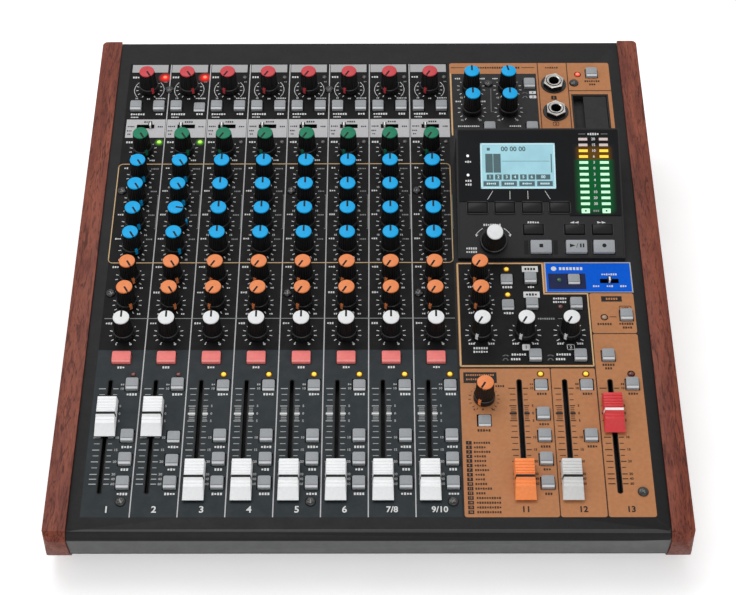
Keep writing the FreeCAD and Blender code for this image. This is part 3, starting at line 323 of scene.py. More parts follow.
# Colour, roughness, colour spread, grain, bump, bump grain, specular level, glow, metal and coat
# of each finish; a short row leaves the rest at the usual values
SURFACES = {
    "screen": ((158, 205, 217), 0.35, 0.05, 90, 0.01, 3000, 0.1, 0.13),
    "deck_paint": ((29, 29, 30), 0.46, 0.1, 420, 0.1, 3200, 0.12),
    # The front fold of the top sheet: painted highlight at the top of the bevel, painted shade below it, and a
    # front face painted lighter as a painted reflection
    "bevel_highlight_paint": ((50, 50, 51), 0.34, 0.06, 420, 0.08, 3200, 0.35),
    "bend_shade_paint": ((25, 25, 26), 0.4, 0.1, 420, 0.08, 3200, 0.15),
    "face_reflection_paint": ((74, 75, 76), 0.4, 0.06, 420, 0.08, 3200, 0.4),
    "case_paint": ((38, 39, 40), 0.52, 0.1, 420, 0.12, 3000),
    "housing_plastic": ((31, 31, 33), 0.42, 0.08, 500, 0.08, 3600, 0.2),
    "window": ((18, 19, 21), 0.14, 0.1, 60, 0.004, 900, 0.12),
    "board": ((24, 74, 48), 0.5, 0.2, 300, 0.1, 900),
    "pot_dark": ((20, 20, 21), 0.6, 0.15, 600, 0.05, 2000, 0.15),
    "lever_steel": ((96, 96, 95), 0.4, 0.08, 600, 0.05, 2000, 0.3, 0, 0.8),
    "chrome": ((172, 169, 165), 0.18, 0.05, 500, 0.02, 2200, 0.3, 0, 1),
    "washer": ((20, 20, 21), 0.34, 0.15, 500, 0.05, 2200),
    "socket_plastic": ((26, 27, 28), 0.45, 0.12, 600, 0.08),
    "rubber": ((24, 24, 25), 0.8, 0.15, 500, 0.2, 1800, 0.15),
    "knob_black": ((17, 17, 18), 0.4, 0.12, 500, 0.05),
    # Painted highlight for the top edge of the knob skirts and the jog dial's flange
    "knob_edge_highlight": ((36, 36, 37), 0.34, 0.12, 500, 0.05, 2600, 0.5),
    "hole": ((8, 8, 9), 0.7, 0.2, 500, 0.05, 2600, 0.15),
    "screw": ((24, 24, 25), 0.22, 0.15, 500, 0.04, 2600, 0.5),
    # Painted glint for the walls of the screws' cross recess
    "screw_wear": ((112, 112, 110), 0.25, 0.1, 900, 0.04, 2600, 0.5),
    "button_grey": ((151, 154, 157), 0.5, 0.06, 1500, 0.1, 3000),
    # Lighter copies of the button colours for the front lips are painted highlight; the darker line colour is
    # painted shade
    "button_lip_highlight": ((216, 218, 221), 0.42, 0.03, 900, 0.03, 3000),
    "button_line_shade": ((104, 107, 111), 0.5, 0.08, 900, 0.03, 3000),
    "record_pink": ((232, 120, 115), 0.45, 0.04, 400, 0.03, 2600, 0.3, 0.05),
    "record_lip_highlight": ((242, 150, 146), 0.45, 0.04, 400, 0.03, 2600, 0.3, 0.05),
    "key_grey": ((156, 159, 163), 0.48, 0.05, 800, 0.05, 3000),
    "key_black": ((16, 16, 17), 0.36, 0.12, 600, 0.05, 3000, 0.2),
    "red_cap": ((196, 60, 67), 0.42, 0.06, 700, 0.05, 2400),
    "green_cap": ((20, 120, 88), 0.45, 0.07, 700, 0.05, 2400, 0.2),
    "blue_cap": ((6, 166, 228), 0.42, 0.05, 700, 0.05, 2400, 0.2),
    "orange_cap": ((231, 134, 77), 0.42, 0.05, 700, 0.05, 2400),
    "white_cap": ((229, 230, 231), 0.42, 0.03, 700, 0.04, 2400),
    "fader_white": ((246, 247, 248), 0.42, 0.02, 700, 0.04, 2400),
    "fader_grey": ((214, 214, 213), 0.42, 0.03, 700, 0.04, 2400),
    "fader_orange": ((250, 143, 78), 0.42, 0.04, 700, 0.04, 2400),
    "fader_red": ((212, 58, 62), 0.42, 0.05, 700, 0.04, 2400),
    "line_black": ((18, 18, 19), 0.5, 0.1, 700, 0.03, 2400, 0.15),
    "line_white": ((240, 240, 238), 0.5, 0.03, 700, 0.03, 2400),
    "red_lit": ((250, 40, 28), 0.3, 0.04, 900, 0.01, 2400, 0.5, 0.9),
    "green_lit": ((112, 200, 40), 0.3, 0.04, 900, 0.01, 2400, 0.5, 0.5),
    "amber_lit": ((240, 170, 26), 0.3, 0.04, 900, 0.01, 2400, 0.5, 0.2),
    "red_core": ((255, 104, 78), 0.3, 0.04, 900, 0.01, 2400, 0.5, 1.1),
    "green_core": ((182, 232, 84), 0.3, 0.04, 900, 0.01, 2400, 0.5, 0.5),
    "amber_core": ((255, 214, 66), 0.3, 0.04, 900, 0.01, 2400, 0.5, 0.4),
    "white_lit": ((240, 244, 248), 0.3, 0.02, 900, 0.01, 2400, 0.5, 0.5),
    "red_dark": ((92, 34, 30), 0.28, 0.15, 900, 0.02, 2400, 0.3, 0, 0, 0.5),
    "green_dark": ((14, 74, 44), 0.28, 0.15, 900, 0.02, 2400, 0.3, 0, 0, 0.5),
    "grey_dark": ((58, 52, 50), 0.28, 0.15, 900, 0.02, 2400, 0.3, 0, 0, 0.5),
    # Painted light from lit amber lamps on the paint round them
    "amber_painted_glow": ((112, 70, 24), 0.5, 0.1, 900, 0.03, 3000, 0.15),
    "white_ink": ((214, 215, 215), 0.55, 0.04, 900, 0.05, 3000, 0.15),
    "soft_ink": ((142, 144, 145), 0.55, 0.05, 900, 0.05, 3000, 0.15),
    "label_ink": ((172, 172, 173), 0.55, 0.04, 900, 0.05, 3000, 0.15),
    "mode_ink": ((190, 189, 191), 0.55, 0.04, 900, 0.05, 3000, 0.15),
    "black_ink": ((26, 25, 25), 0.5, 0.08, 900, 0.05, 3000, 0.15),
    "field_ink": ((18, 18, 19), 0.5, 0.1, 500, 0.06, 3000, 0.08),
    "box_ink": ((37, 37, 38), 0.5, 0.1, 500, 0.06, 3000, 0.15),
    # Painted highlight for the raised rims round the keys
    "rim_highlight_ink": ((58, 59, 61), 0.45, 0.08, 900, 0.04, 3000, 0.2),
    "card_plastic": ((40, 40, 41), 0.5, 0.12, 500, 0.1, 3000, 0.15),
    "clear_lens": ((168, 138, 112), 0.25, 0.08, 900, 0.02, 2400, 0.5),
    "brown_ink": ((58, 40, 30), 0.55, 0.08, 900, 0.05, 3000, 0.15),
    "slate_ink": ((34, 41, 44), 0.5, 0.08, 500, 0.08, 3000, 0.15),
    "copper_ink": ((181, 123, 82), 0.5, 0.05, 420, 0.08, 3000, 0.15),
    "beige_ink": ((214, 180, 132), 0.55, 0.05, 900, 0.05, 3000, 0.15),
    "tan_ink": ((206, 174, 132), 0.55, 0.05, 900, 0.05, 3000, 0.15),
    "blue_ink": ((0, 90, 210), 0.5, 0.05, 500, 0.05, 3000, 0.06),
    "navy_ink": ((8, 22, 64), 0.5, 0.08, 500, 0.05, 3000, 0.15),
    "glass_ink": ((84, 108, 112), 0.5, 0.05, 900, 0.02, 3000, 0.15),
    "glass_pale": ((198, 232, 240), 0.4, 0.03, 900, 0.02, 3000, 0.15, 0.1),
    "meter_pink": ((206, 188, 184), 0.4, 0.03, 900, 0.02, 3000, 0.15, 0.15),
    "meter_amber": ((252, 206, 70), 0.4, 0.03, 900, 0.02, 3000, 0.15, 0.4),
    "meter_green": ((196, 246, 208), 0.4, 0.03, 900, 0.02, 3000, 0.15, 0.3),
}


def make_finishes():
    made = {name: finish(name, *values) for name, values in SURFACES.items()}
    made["wood"] = wood()
    made["red_halo"] = halo("red_halo", (214, 30, 20), (18, 18, 19), 4.5)
    made["green_halo"] = halo("green_halo", (66, 124, 28), (18, 18, 19), 3.0)
    made["glow_green"] = glow_patch("glow_green", (0, 88, 42), (133.9, 47.4), (8.2, 16.5), 4.2)
    made["glow_amber"] = glow_patch("glow_amber", (96, 64, 8), (133.9, 65.4), (8.2, 3.4), 3.4)
    return made


FINISH = make_finishes()


# Mesh building: forms are drawn in millimetres and scaled when they are placed

# Faces over this size, in square metres, are shaded flat
FLAT_AREA = 0.0001


def ring(form, radius, height, sides, flutes=0, depth=0.0, centre=(0.0, 0.0)):
    points = []
    for index in range(sides):
        angle = 2 * math.pi * index / sides
        reach = radius - depth * (0.5 - 0.5 * math.cos(flutes * angle))
        points.append(form.verts.new((centre[0] + reach * math.cos(angle),
                                      centre[1] + reach * math.sin(angle), height)))
    return points


def skin(form, low, high, slot=0):
    """Faces between two rings of the same number of points."""
    for index in range(len(low)):
        after = (index + 1) % len(low)
        face = form.faces.new((low[index], low[after], high[after], high[index]))
        face.material_index = slot


def skins(form, rings, slot=0):
    for low, high in zip(rings, rings[1:]):
        skin(form, low, high, slot)


def lid(form, points, slot=0, under=False):
    face = form.faces.new(points[::-1] if under else points)
    face.material_index = slot


def turned(form, profile, sides, slot=0, centre=(0.0, 0.0), flutes=0, depth=0.0, closed=True):
    """A turned form from (radius, height) pairs, closed at its top."""
    rings = [ring(form, radius, height, sides, flutes, depth, centre) for radius, height in profile]
    skins(form, rings, slot)
    if closed:
        lid(form, rings[-1], slot)
    return rings


def turned_parts(form, *parts):
    """Turned forms one above the other, from profiles and slots; only the last is closed."""
    for profile, slot in parts[:-1]:
        turned(form, profile, KNOB_SIDES, slot, closed=False)
    turned(form, parts[-1][0], KNOB_SIDES, parts[-1][1])


def block(form, x0, x1, y0, y1, z0, z1, slot=0):
    corners = [(x0, y0), (x1, y0), (x1, y1), (x0, y1)]
    low = [form.verts.new((x, y, z0)) for x, y in corners]
    high = [form.verts.new((x, y, z1)) for x, y in corners]
    skin(form, low, high, slot)
    lid(form, high, slot)
    lid(form, low, slot, True)
    return low + high


def across(form, outline, x0, x1, slot=0, draft=0.0):
    """A solid of one outline in y and z, from x0 to x1, narrower at its top by the draft."""
    base = min(z for y, z in outline)
    rise = max(z for y, z in outline) - base
    sides = []
    for x, inward in ((x0, draft), (x1, -draft)):
        sides.append([form.verts.new((x + inward * (z - base) / rise, y, z)) for y, z in outline])
    skin(form, sides[0], sides[1], slot)
    lid(form, sides[0], slot, True)
    lid(form, sides[1], slot)
    return sides


def soften(form, size, segments=2, sharper=25.0, only=None):
    """Rounds the edges that are sharper than the angle."""
    form.normal_update()
    edges = []
    for edge in form.edges:
        if len(edge.link_faces) == 2 and edge.calc_face_angle() > math.radians(sharper):
            if only is None or only(edge):
                edges.append(edge)
    bmesh.ops.bevel(form, geom=edges, offset=size, segments=segments, profile=0.5, affect="EDGES",
                    clamp_overlap=True)


def to_mesh(name, form, finishes, smooth=35.0):
    bmesh.ops.recalc_face_normals(form, faces=form.faces)
    form.transform(Matrix.Scale(MM, 4))
    mesh = bpy.data.meshes.new(name)
    form.to_mesh(mesh)
    form.free()
    for finish_name in finishes:
        mesh.materials.append(FINISH[finish_name])
    for face in mesh.polygons:
        face.use_smooth = face.area < FLAT_AREA
    mesh.set_sharp_from_angle(angle=math.radians(smooth))
    return mesh


def put(name, mesh, place, body, stands_for=()):
    """Places a mesh on the body it moves with."""
    piece = bpy.data.objects.new(name, mesh)
    bpy.context.scene.collection.objects.link(piece)
    piece.matrix_world = place
    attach(piece, body)
    if stands_for:
        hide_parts(*stands_for)
    return piece


def dress(node, mesh, place, body=None):
    """Places a mesh that stands for a whole node, on the node's own body unless another is named."""
    put("dressed_" + node, mesh, place, body or node, [node])


# Flat marks

def number_shape(text, height):
    """The outline faces of plain numerals, as lists of points round their middle."""
    curve = bpy.data.curves.new("numerals", "FONT")
    curve.body = text
    curve.size = height * 1.38
    curve.align_x = "CENTER"
    curve.align_y = "CENTER"
    curve.resolution_u = 3
    curve.offset = height * 0.034
    writer = bpy.data.objects.new("numerals", curve)
    bpy.context.scene.collection.objects.link(writer)
    bpy.context.view_layer.update()
    mesh = bpy.data.meshes.new_from_object(writer)
    faces = [[tuple(mesh.vertices[index].co)[:2] for index in face.vertices] for face in mesh.polygons]
    bpy.data.objects.remove(writer)
    bpy.data.meshes.remove(mesh)
    bpy.data.curves.remove(curve)
    return faces


class Marks:
    """Flat marks on one surface, gathered as one mesh for each ink."""

    def __init__(self, name, place, body, lift=INK_LIFT):
        self.name = name
        self.place = place
        self.body = body
        self.lift = lift
        self.inks = {}
        self.numbers = {}

    def polygon(self, ink, points, lift=None):
        form = self.inks.setdefault(ink, bmesh.new())
        height = self.lift if lift is None else lift
        face = form.faces.new([form.verts.new((x, y, height)) for x, y in points])
        return face

    def box(self, ink, x0, x1, y0, y1, lift=None):
        self.polygon(ink, [(x0, y0), (x1, y0), (x1, y1), (x0, y1)], lift)

    def rounded(self, ink, x0, x1, y0, y1, radius, lift=None):
        self.polygon(ink, rounded_outline(x0, x1, y0, y1, radius), lift)

    def line(self, ink, start, end, width, lift=None):
        run = Vector(end) - Vector(start)
        side = Vector((-run.y, run.x)).normalized() * width / 2
        corners = [Vector(start) - side, Vector(end) - side, Vector(end) + side, Vector(start) + side]
        self.polygon(ink, [tuple(corner) for corner in corners], lift)

    def path(self, ink, points, width, closed=False, lift=None):
        """A line of even width along the points, with its corners filled."""
        ends = list(zip(points, points[1:] + points[:1])) if closed else list(zip(points, points[1:]))
        for index, (start, end) in enumerate(ends):
            run = (Vector(end) - Vector(start)).normalized() * width * 0.4
            self.line(ink, Vector(start) - run, Vector(end) + run, width, lift)

    def arc(self, ink, x, y, radius, width, start, end, lift=None):
        """Part of a ring, between angles measured clockwise from the back."""
        steps = max(2, int(abs(end - start) / 6))
        points = []
        for index in range(steps + 1):
            angle = math.radians(start + (end - start) * index / steps)
            points.append((x + radius * math.sin(angle), y + radius * math.cos(angle)))
        self.path(ink, points, width, False, lift)

    def disc(self, ink, x, y, radius, lift=None, sides=20):
        points = [(x + radius * math.cos(2 * math.pi * index / sides),
                   y + radius * math.sin(2 * math.pi * index / sides)) for index in range(sides)]
        self.polygon(ink, points, lift)

    def words(self, ink, x, y, width, height, lift=None):
        """A plain broken bar where the desk has a word."""
        letter = height * 0.60
        step = height * 0.88
        count = max(1, int(round(width / step)))
        left = x - count * step / 2
        for index in range(count):
            middle = left + (index + 0.5) * step
            tall = height * random.choice((0.9, 0.9, 0.65))
            self.box(ink, middle - letter / 2, middle + letter / 2, y - tall / 2, y + tall / 2, lift)

    def number(self, ink, text, x, y, height, lift=None):
        key = (text, height)
        if key not in self.numbers:
            self.numbers[key] = number_shape(text, height)
        for points in self.numbers[key]:
            self.polygon(ink, [(x + a, y + b) for a, b in points], lift)

    def make(self):
        for ink, form in self.inks.items():
            mesh = to_mesh("%s_%s" % (self.name, ink), form, [ink])
            put("%s_%s" % (self.name, ink), mesh, self.place, self.body)


def rounded_outline(x0, x1, y0, y1, radius, steps=5):
    points = []
    for corner_x, corner_y, first in ((x1, y0, -90), (x1, y1, 0), (x0, y1, 90), (x0, y0, 180)):
        middle_x = corner_x - math.copysign(radius, corner_x - (x0 + x1) / 2)
        middle_y = corner_y - math.copysign(radius, corner_y - (y0 + y1) / 2)
        for step in range(steps + 1):
            angle = math.radians(first + 90 * step / steps)
            points.append((middle_x + radius * math.cos(angle), middle_y + radius * math.sin(angle)))
    return points


def deck_faces():
    """The deck's own upper faces, with every opening, in deck coordinates."""
    form = bmesh.new()
    form.from_mesh(frame_node("top_panel").data)
    form.transform(Matrix.Scale(1 / MM, 4) @ DECK.inverted())
    form.normal_update()
    other = [face for face in form.faces
             if face.normal.z < 0.99 or abs(face.calc_center_median().z) > 0.05]
    bmesh.ops.delete(form, geom=other, context="FACES")
    return form


def frame_node(name):
    """The object of a node of the loaded model."""
    for piece in bpy.context.scene.objects:
        if piece.get("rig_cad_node") == name:
            return piece
    raise ValueError(name)


DECK_FACES = deck_faces()


def field(name, ink, outline, lift):
    """A printed field: the deck's faces inside a convex outline, so that its openings stay open."""
    form = DECK_FACES.copy()
    for start, end in zip(outline, outline[1:] + outline[:1]):
        outward = Vector((end[1] - start[1], start[0] - end[0], 0))
        if outward.length < 1e-6:
            continue
        everything = list(form.verts) + list(form.edges) + list(form.faces)
        bmesh.ops.bisect_plane(form, geom=everything, plane_co=(start[0], start[1], 0),
                               plane_no=outward.normalized(), clear_outer=True)
    for point in form.verts:
        point.co.z = lift
    put(name, to_mesh(name, form, [ink]), DECK, "case")


def field_box(name, ink, x0, x1, y0, y1, lift, radius=0.0):
    if radius:
        outline = rounded_outline(x0, x1, y0, y1, radius, 4)
    else:
        outline = [(x0, y0), (x1, y0), (x1, y1), (x0, y1)]
    field(name, ink, outline, lift)


def each(mark, ink, *places):
    """The same kind of mark at several places."""
    for place in places:
        mark(ink, *place)


# Printing on the deck

deck = Marks("deck_print", DECK, "case")


def ring_ticks(marks, ink, x, y, first=-150, last=150, count=13, low=6.9, high=8.5, width=0.5):
    """The scale round a knob: longer marks towards its ends."""
    for index in range(count):
        angle = first + (last - first) * index / (count - 1)
        inner = low if abs(angle) > 70 else low + 0.4
        outer = high if abs(angle) > 70 else high - 0.5
        run = math.radians(angle)
        marks.line(ink, (x + inner * math.sin(run), y + inner * math.cos(run)),
                   (x + outer * math.sin(run), y + outer * math.cos(run)), width)


def print_strip_top(strip):
    left = column_left(strip)
    middle = column_middle(strip)
    deck.box("label_ink", left + 0.7, left + 23.4, 333.4, 340.1)
    deck.words("white_ink", left + 3.5, 329.1, 5.0, 1.7)
    deck.words("soft_ink", left + 22.6, 325.0, 2.4, 1.1)
    for start, end in ((-128, -48), (48, 128)):
        deck.arc("white_ink", middle, GAIN_ROW - 0.8, 9.3, 0.4, start, end)
    ring_ticks(deck, "white_ink", middle, GAIN_ROW, low=6.9, high=8.3)
    deck.number("white_ink", "10", left + 5.2, 310.8, 1.3)
    each(deck.words, "white_ink", (left + 12.7, 310.4, 2.6, 1.2), (left + 20.3, 310.8, 6.4, 1.2),
         (left + 6.9, 297.3, 8.6, 1.7), (left + 20.3, 297.4, 4.4, 1.7), (left + 5.2, 294.8, 5.0, 1.1))


def print_mode_block(strip):
    left = column_left(strip)
    field_box("mode_field_%d" % (strip + 1), "mode_ink", left + 0.6, left + 24.7, 277.8, 293.0, BOX_LIFT)
    each(deck.words, "black_ink", (left + 14.0, 290.8, 5.6, 1.5), (left + 3.6, 287.0, 4.2, 1.3),
         (left + 21.8, 286.8, 4.0, 1.3), (left + 2.8, 283.4, 3.2, 1.2), (left + 2.8, 280.6, 2.2, 1.2))


def print_strip_middle(strip):
    left = column_left(strip)
    middle = column_middle(strip)
    deck.words("white_ink", left + 3.7, 273.9, 4.8, 1.7)
    ring_ticks(deck, "white_ink", middle, COMPRESSOR_ROW)
    each(deck.words, "white_ink", (left + 18.8, 259.0, 4.0, 1.3), (left + 3.5, 252.7, 3.2, 1.5))
    deck.words("soft_ink", left + 21.0, 252.1, 4.6, 1.1)
    for row in EQUALISER_ROWS:
        ring_ticks(deck, "white_ink", middle, row)
        each(deck.number, "white_ink", ("15", left + 19.2, row - 8.4, 1.3),
             ("15", left + 5.4, row - 8.4, 1.3))
    for row in EQUALISER_ROWS[1:]:
        deck.words("white_ink", left + 3.2, row + 7.4, 3.4, 1.4)
        deck.words("soft_ink", left + 21.6, row + 7.0, 3.4, 1.1)
    for row in SEND_ROWS:
        ring_ticks(deck, "white_ink", middle, row)
        each(deck.words, "white_ink", (left + 3.6, row + 7.8, 4.4, 1.5),
             (left + 19.8, row - 7.6, 2.2, 1.2), (left + 6.2, row - 7.6, 2.2, 1.2))
    deck.words("white_ink", left + 3.4, 135.4, 3.4, 1.5)
    ring_ticks(deck, "white_ink", middle, PAN_ROW)
    deck.disc("white_ink", left + 16.8, 120.8, 0.7)
    deck.words("white_ink", left + 8.6, 120.8, 0.9, 1.3)


def print_brackets(strip):
    """The fine bracket that joins the two middle tone knobs."""
    left = column_left(strip)
    deck.path("soft_ink", [(left + 24.0, 231.0), (left + 24.6, 231.0), (left + 24.6, 205.0),
                           (left + 24.0, 205.0)], 0.3)


FADER_MARKS = ((90.4, "10"), (78.8, "5"), (73.8, "0"), (69.0, "5"), (58.2, "10"), (50.3, "15"), (42.8, "20"),
               (34.9, "30"), (31.9, "40"), (28.8, "60"))
FADER_FINE_MARKS = (86.5, 82.7, 77.4, 76.1, 74.9, 72.6, 71.4, 70.2, 65.5, 62.0, 54.3, 46.6, 39.0)


def print_fader_scale(left, strong, fine):
    """The scale at both sides of a fader's slot, and the slot's black edge."""
    slot = rounded_outline(left + FADER_OFFSET - 1.3, left + FADER_OFFSET + 1.3, 22.9, 96.3, 1.2, 3)
    deck.path("line_black", slot, 0.45, True)
    for row in FADER_FINE_MARKS:
        deck.box(fine, left + 2.4, left + 5.5, row - 0.2, row + 0.2)
        deck.box(fine, left + 10.0, left + 12.2, row - 0.2, row + 0.2)
    for row, text in FADER_MARKS:
        half = 0.65 if text == "0" else 0.28
        ink = strong if text == "0" else fine
        deck.box(ink, left + 1.8, left + 5.7, row - half, row + half)
        deck.box(ink, left + 9.8, left + 12.7, row - half, row + half)
        deck.number(fine, text, left + 14.6, row, 1.5)
    deck.words(fine, left + 14.7, 93.2, 2.0, 1.2)


def print_strip_front(strip):
    left = column_left(strip)
    middle = column_middle(strip)
    deck.words("white_ink", middle + 0.1, 104.8, 4.8, 1.6)
    print_fader_scale(left, "white_ink", "label_ink")
    for row, width in ((86.6, 6.2), (52.2, 6.0), (37.9, 4.6), (22.7, 6.6)):
        deck.words("white_ink", left + 20.3, row, width, 1.7)
    if strip < 6:
        deck.number("white_ink", str(strip + 1), middle, 13.0, 4.0)
    else:
        deck.number("white_ink", "7/8" if strip == 6 else "9/10", middle, 13.0, 3.6)


def print_separators():
    """Fine white lines between the strips."""
    for strip in range(1, STRIPS):
        x = column_left(strip)
        deck.box("mode_ink", x - 0.3, x + 0.3, PRINT_FRONT, 340.3)


def print_lines():
    """The tone section's outline and the line over the pan knobs."""
    outline = rounded_outline(-152.6, 49.2, 179.3, 256.0, 2.6)
    deck.path("tan_ink", outline, 0.6, True)
    deck.box("soft_ink", -151.0, 49.2, 138.6, 139.1)


def print_strips():
    field_box("strip_field", "field_ink", PRINT_LEFT, PRINT_RIGHT, 116.8, PRINT_BACK, FIELD_LIFT)
    field_box("slate_field", "slate_ink", PRINT_LEFT, PRINT_RIGHT, PRINT_FRONT, 116.8, FIELD_LIFT)
    for strip in range(STRIPS):
        print_strip_top(strip)
        print_mode_block(strip)
        print_strip_middle(strip)
        print_brackets(strip)
        print_strip_front(strip)
    print_separators()
    print_lines()


# Printing on the master section

def print_copper_fields():
    for name, x0, x1, y0, y1 in (("top", 50.9, 152.3, 280.0, 341.1), ("middle", 50.9, 126.5, 104.9, 179.2),
                                 ("click", 127.0, 152.3, 128.1, 156.6), ("effect", 50.9, 101.2, 8.4, 104.2),
                                 ("sub", 101.7, 126.3, 8.4, 104.2), ("main", 126.9, 152.3, 8.4, 127.6)):
        field_box("copper_" + name, "copper_ink", x0, x1, y0, y1, FIELD_LIFT, 1.4)
    for name, ink, x0, x1, y0, y1, lift in (
            ("copper_behind", "copper_ink", 53.4, 152.3, 262.0, 281.4, FIELD_LIFT + 0.01),
            ("tone_box", "box_ink", 52.1, 105.7, 262.0, 331.7, BOX_LIFT),
            ("monitor_box", "field_ink", 52.2, 100.6, 106.2, 177.9, BOX_LIFT),
            ("headphone_box", "field_ink", 100.6, 125.6, 106.2, 155.6, BOX_LIFT),
            ("wireless_rim", "label_ink", 102.2, 152.6, 156.9, 179.2, PATCH_LIFT),
            ("wireless_field", "blue_ink", 102.9, 151.9, 157.6, 178.5, PATCH_LIFT + 0.03),
            ("wireless_button_field", "navy_ink", 104.1, 125.7, 159.4, 170.9, PATCH_LIFT + 0.05)):
        field_box(name, ink, x0, x1, y0, y1, lift)


def print_copper_lines():
    """The dark lines that divide the copper field."""
    for start, end in (((107.0, 341.0), (107.0, 285.0)), ((125.5, 341.0), (125.5, 283.0)),
                       ((125.5, 316.8), (152.2, 316.8)), ((51.0, 104.0), (126.4, 104.0)),
                       ((101.45, 104.0), (101.45, 8.6)), ((126.7, 156.2), (126.7, 8.6)),
                       ((126.6, 127.8), (152.2, 127.8)), ((101.6, 157.0), (152.2, 156.8))):
        deck.line("brown_ink", start, end, 0.5)
    box = [(51.6, 178.4), (101.0, 178.4), (101.0, 156.2), (126.0, 156.2), (126.0, 105.4), (51.6, 105.4)]
    deck.path("beige_ink", box, 0.7, True, INK_LIFT + 0.02)
    deck.box("beige_ink", 51.1, 51.9, 279.0, 332.0)


def print_tone_box():
    deck.words("black_ink", 78.5, 337.0, 34.0, 1.7)
    each(deck.box, "black_ink", (52.0, 60.6, 336.9, 337.3), (96.8, 105.0, 336.9, 337.3))
    for x, y in ((55.8, 327.4), (71.4, 327.4), (79.6, 327.4), (55.8, 307.7), (71.2, 307.7)):
        deck.words("white_ink", x, y, 3.8, 1.4)
    for x in TONE_COLUMNS:
        for row in (GAIN_ROW, TONE_FRONT_ROW):
            ring_ticks(deck, "white_ink", x, row, low=7.4, high=9.0)
            each(deck.number, "white_ink", ("12", x - 6.4, row - 8.1, 1.3), ("12", x + 4.8, row - 8.1, 1.3))
    deck.path("soft_ink", [(76.6, 318.6), (76.1, 298.9), (77.8, 298.8)], 0.3)
    each(deck.words, "white_ink", (61.7, 286.7, 14.0, 1.4), (90.6, 286.7, 8.0, 1.4))
    for y in (315.2, 311.5):
        deck.rounded("white_ink", 100.6, 104.9, y - 1.2, y + 1.2, 0.5)
        deck.number("black_ink", "4" if y > 313 else "2", 102.8, y, 1.5, INK_LIFT + 0.03)
        print_latch_icon(97.8, y, y > 313)


def print_latch_icon(x, y, pressed):
    """A small drawing of a button, standing up or pressed in."""
    rise = 0.5 if pressed else 1.0
    deck.path("soft_ink", [(x - 1.7, y - 0.6), (x - 0.9, y - 0.6), (x - 0.9, y - 0.6 + rise),
                           (x + 0.9, y - 0.6 + rise), (x + 0.9, y - 0.6), (x + 1.7, y - 0.6)], 0.25)


def print_monitor_box():
    for row in SEND_ROWS:
        ring_ticks(deck, "white_ink", MONITOR_COLUMN, row)
        each(deck.words, "white_ink", (58.2, row - 7.2, 2.0, 1.3), (70.4, row - 7.2, 1.0, 1.3),
             (80.0, row - 7.4, 5.6, 1.7))
        deck.box("white_ink", 89.1, 98.4, row + 3.7, row + 8.0)
        deck.words("black_ink", 93.7, row + 5.9, 6.6, 1.9, INK_LIFT + 0.03)
    deck.words("white_ink", 93.7, 161.0, 4.0, 1.5)
    for x in (MONITOR_COLUMN,) + HEADPHONE_COLUMNS:
        ring_ticks(deck, "white_ink", x, PAN_ROW, low=7.3, high=9.2)
        each(deck.words, "white_ink", (x - 5.7, 120.8, 3.2, 1.4), (x + 5.5, 120.8, 3.6, 1.4))
    each(deck.words, "white_ink", (63.1, 117.7, 8.6, 1.6), (63.0, 115.2, 8.6, 1.6),
         (109.8, 152.7, 7.6, 1.5), (109.6, 150.2, 7.4, 1.5))
    deck.words("soft_ink", 101.2, 138.3, 9.4, 1.4)
    deck.box("soft_ink", 108.0, 110.4, 138.2, 138.5)
    deck.rounded("white_ink", 86.6, 91.0, 116.2, 120.4, 0.7)
    deck.number("black_ink", "1", 88.8, 118.3, 2.2, INK_LIFT + 0.03)
    deck.path("white_ink", rounded_outline(112.0, 116.0, 116.6, 120.2, 0.7, 2), 0.35, True)
    deck.number("white_ink", "2", 114.0, 118.4, 2.0)
    for x in (84.4, 109.6):
        each(deck.words, "white_ink", (x, 113.3, 8.6, 1.6), (x - 1.9, 110.1, 6.0, 1.6))
        print_latch_icon(x - 7.4, 113.0, True)
        print_latch_icon(x - 7.6, 110.1, False)


def print_wireless_box():
    deck.disc("white_ink", 107.6, 174.5, 1.6)
    each(deck.words, "white_ink", (117.5, 174.5, 13.6, 2.3), (115.6, 161.2, 9.6, 1.6),
         (139.5, 170.2, 9.4, 1.5))
    for x in (131.4, 139.3, 147.1):
        deck.words("white_ink", x, 161.6, 4.4, 1.5)


def print_click_box():
    deck.box("black_ink", 133.6, 145.4, 150.5, 154.3)
    deck.words("copper_ink", 139.6, 152.4, 7.4, 1.6, INK_LIFT + 0.03)
    deck.path("brown_ink", rounded_outline(143.6, 150.2, 144.0, 147.2, 0.4, 1), 0.3, True)
    deck.words("brown_ink", 146.9, 145.6, 4.6, 1.5)
    deck.box("brown_ink", 137.4, 141.4, 139.4, 139.8)
    for x, y, width in ((134.2, 134.5, 8.2), (146.6, 134.6, 8.0), (147.0, 132.0, 5.2), (134.2, 106.2, 6.4),
                        (134.1, 103.8, 4.8)):
        deck.words("brown_ink", x, y, width, 1.6)


def print_top_right():
    deck.words("brown_ink", 115.8, 336.9, 8.2, 1.6)
    deck.rounded("black_ink", 114.2, 117.6, 309.2, 312.4, 0.5)
    deck.number("copper_ink", "1", 115.9, 310.8, 2.0, INK_LIFT + 0.03)
    deck.path("brown_ink", rounded_outline(114.2, 117.6, 286.9, 290.1, 0.5, 1), 0.3, True)
    deck.number("brown_ink", "2", 115.9, 288.5, 2.0)
    each(deck.words, "brown_ink", (140.8, 325.0, 9.8, 1.6), (140.8, 322.2, 4.6, 1.6))


EFFECT_LIST_ROWS = 16


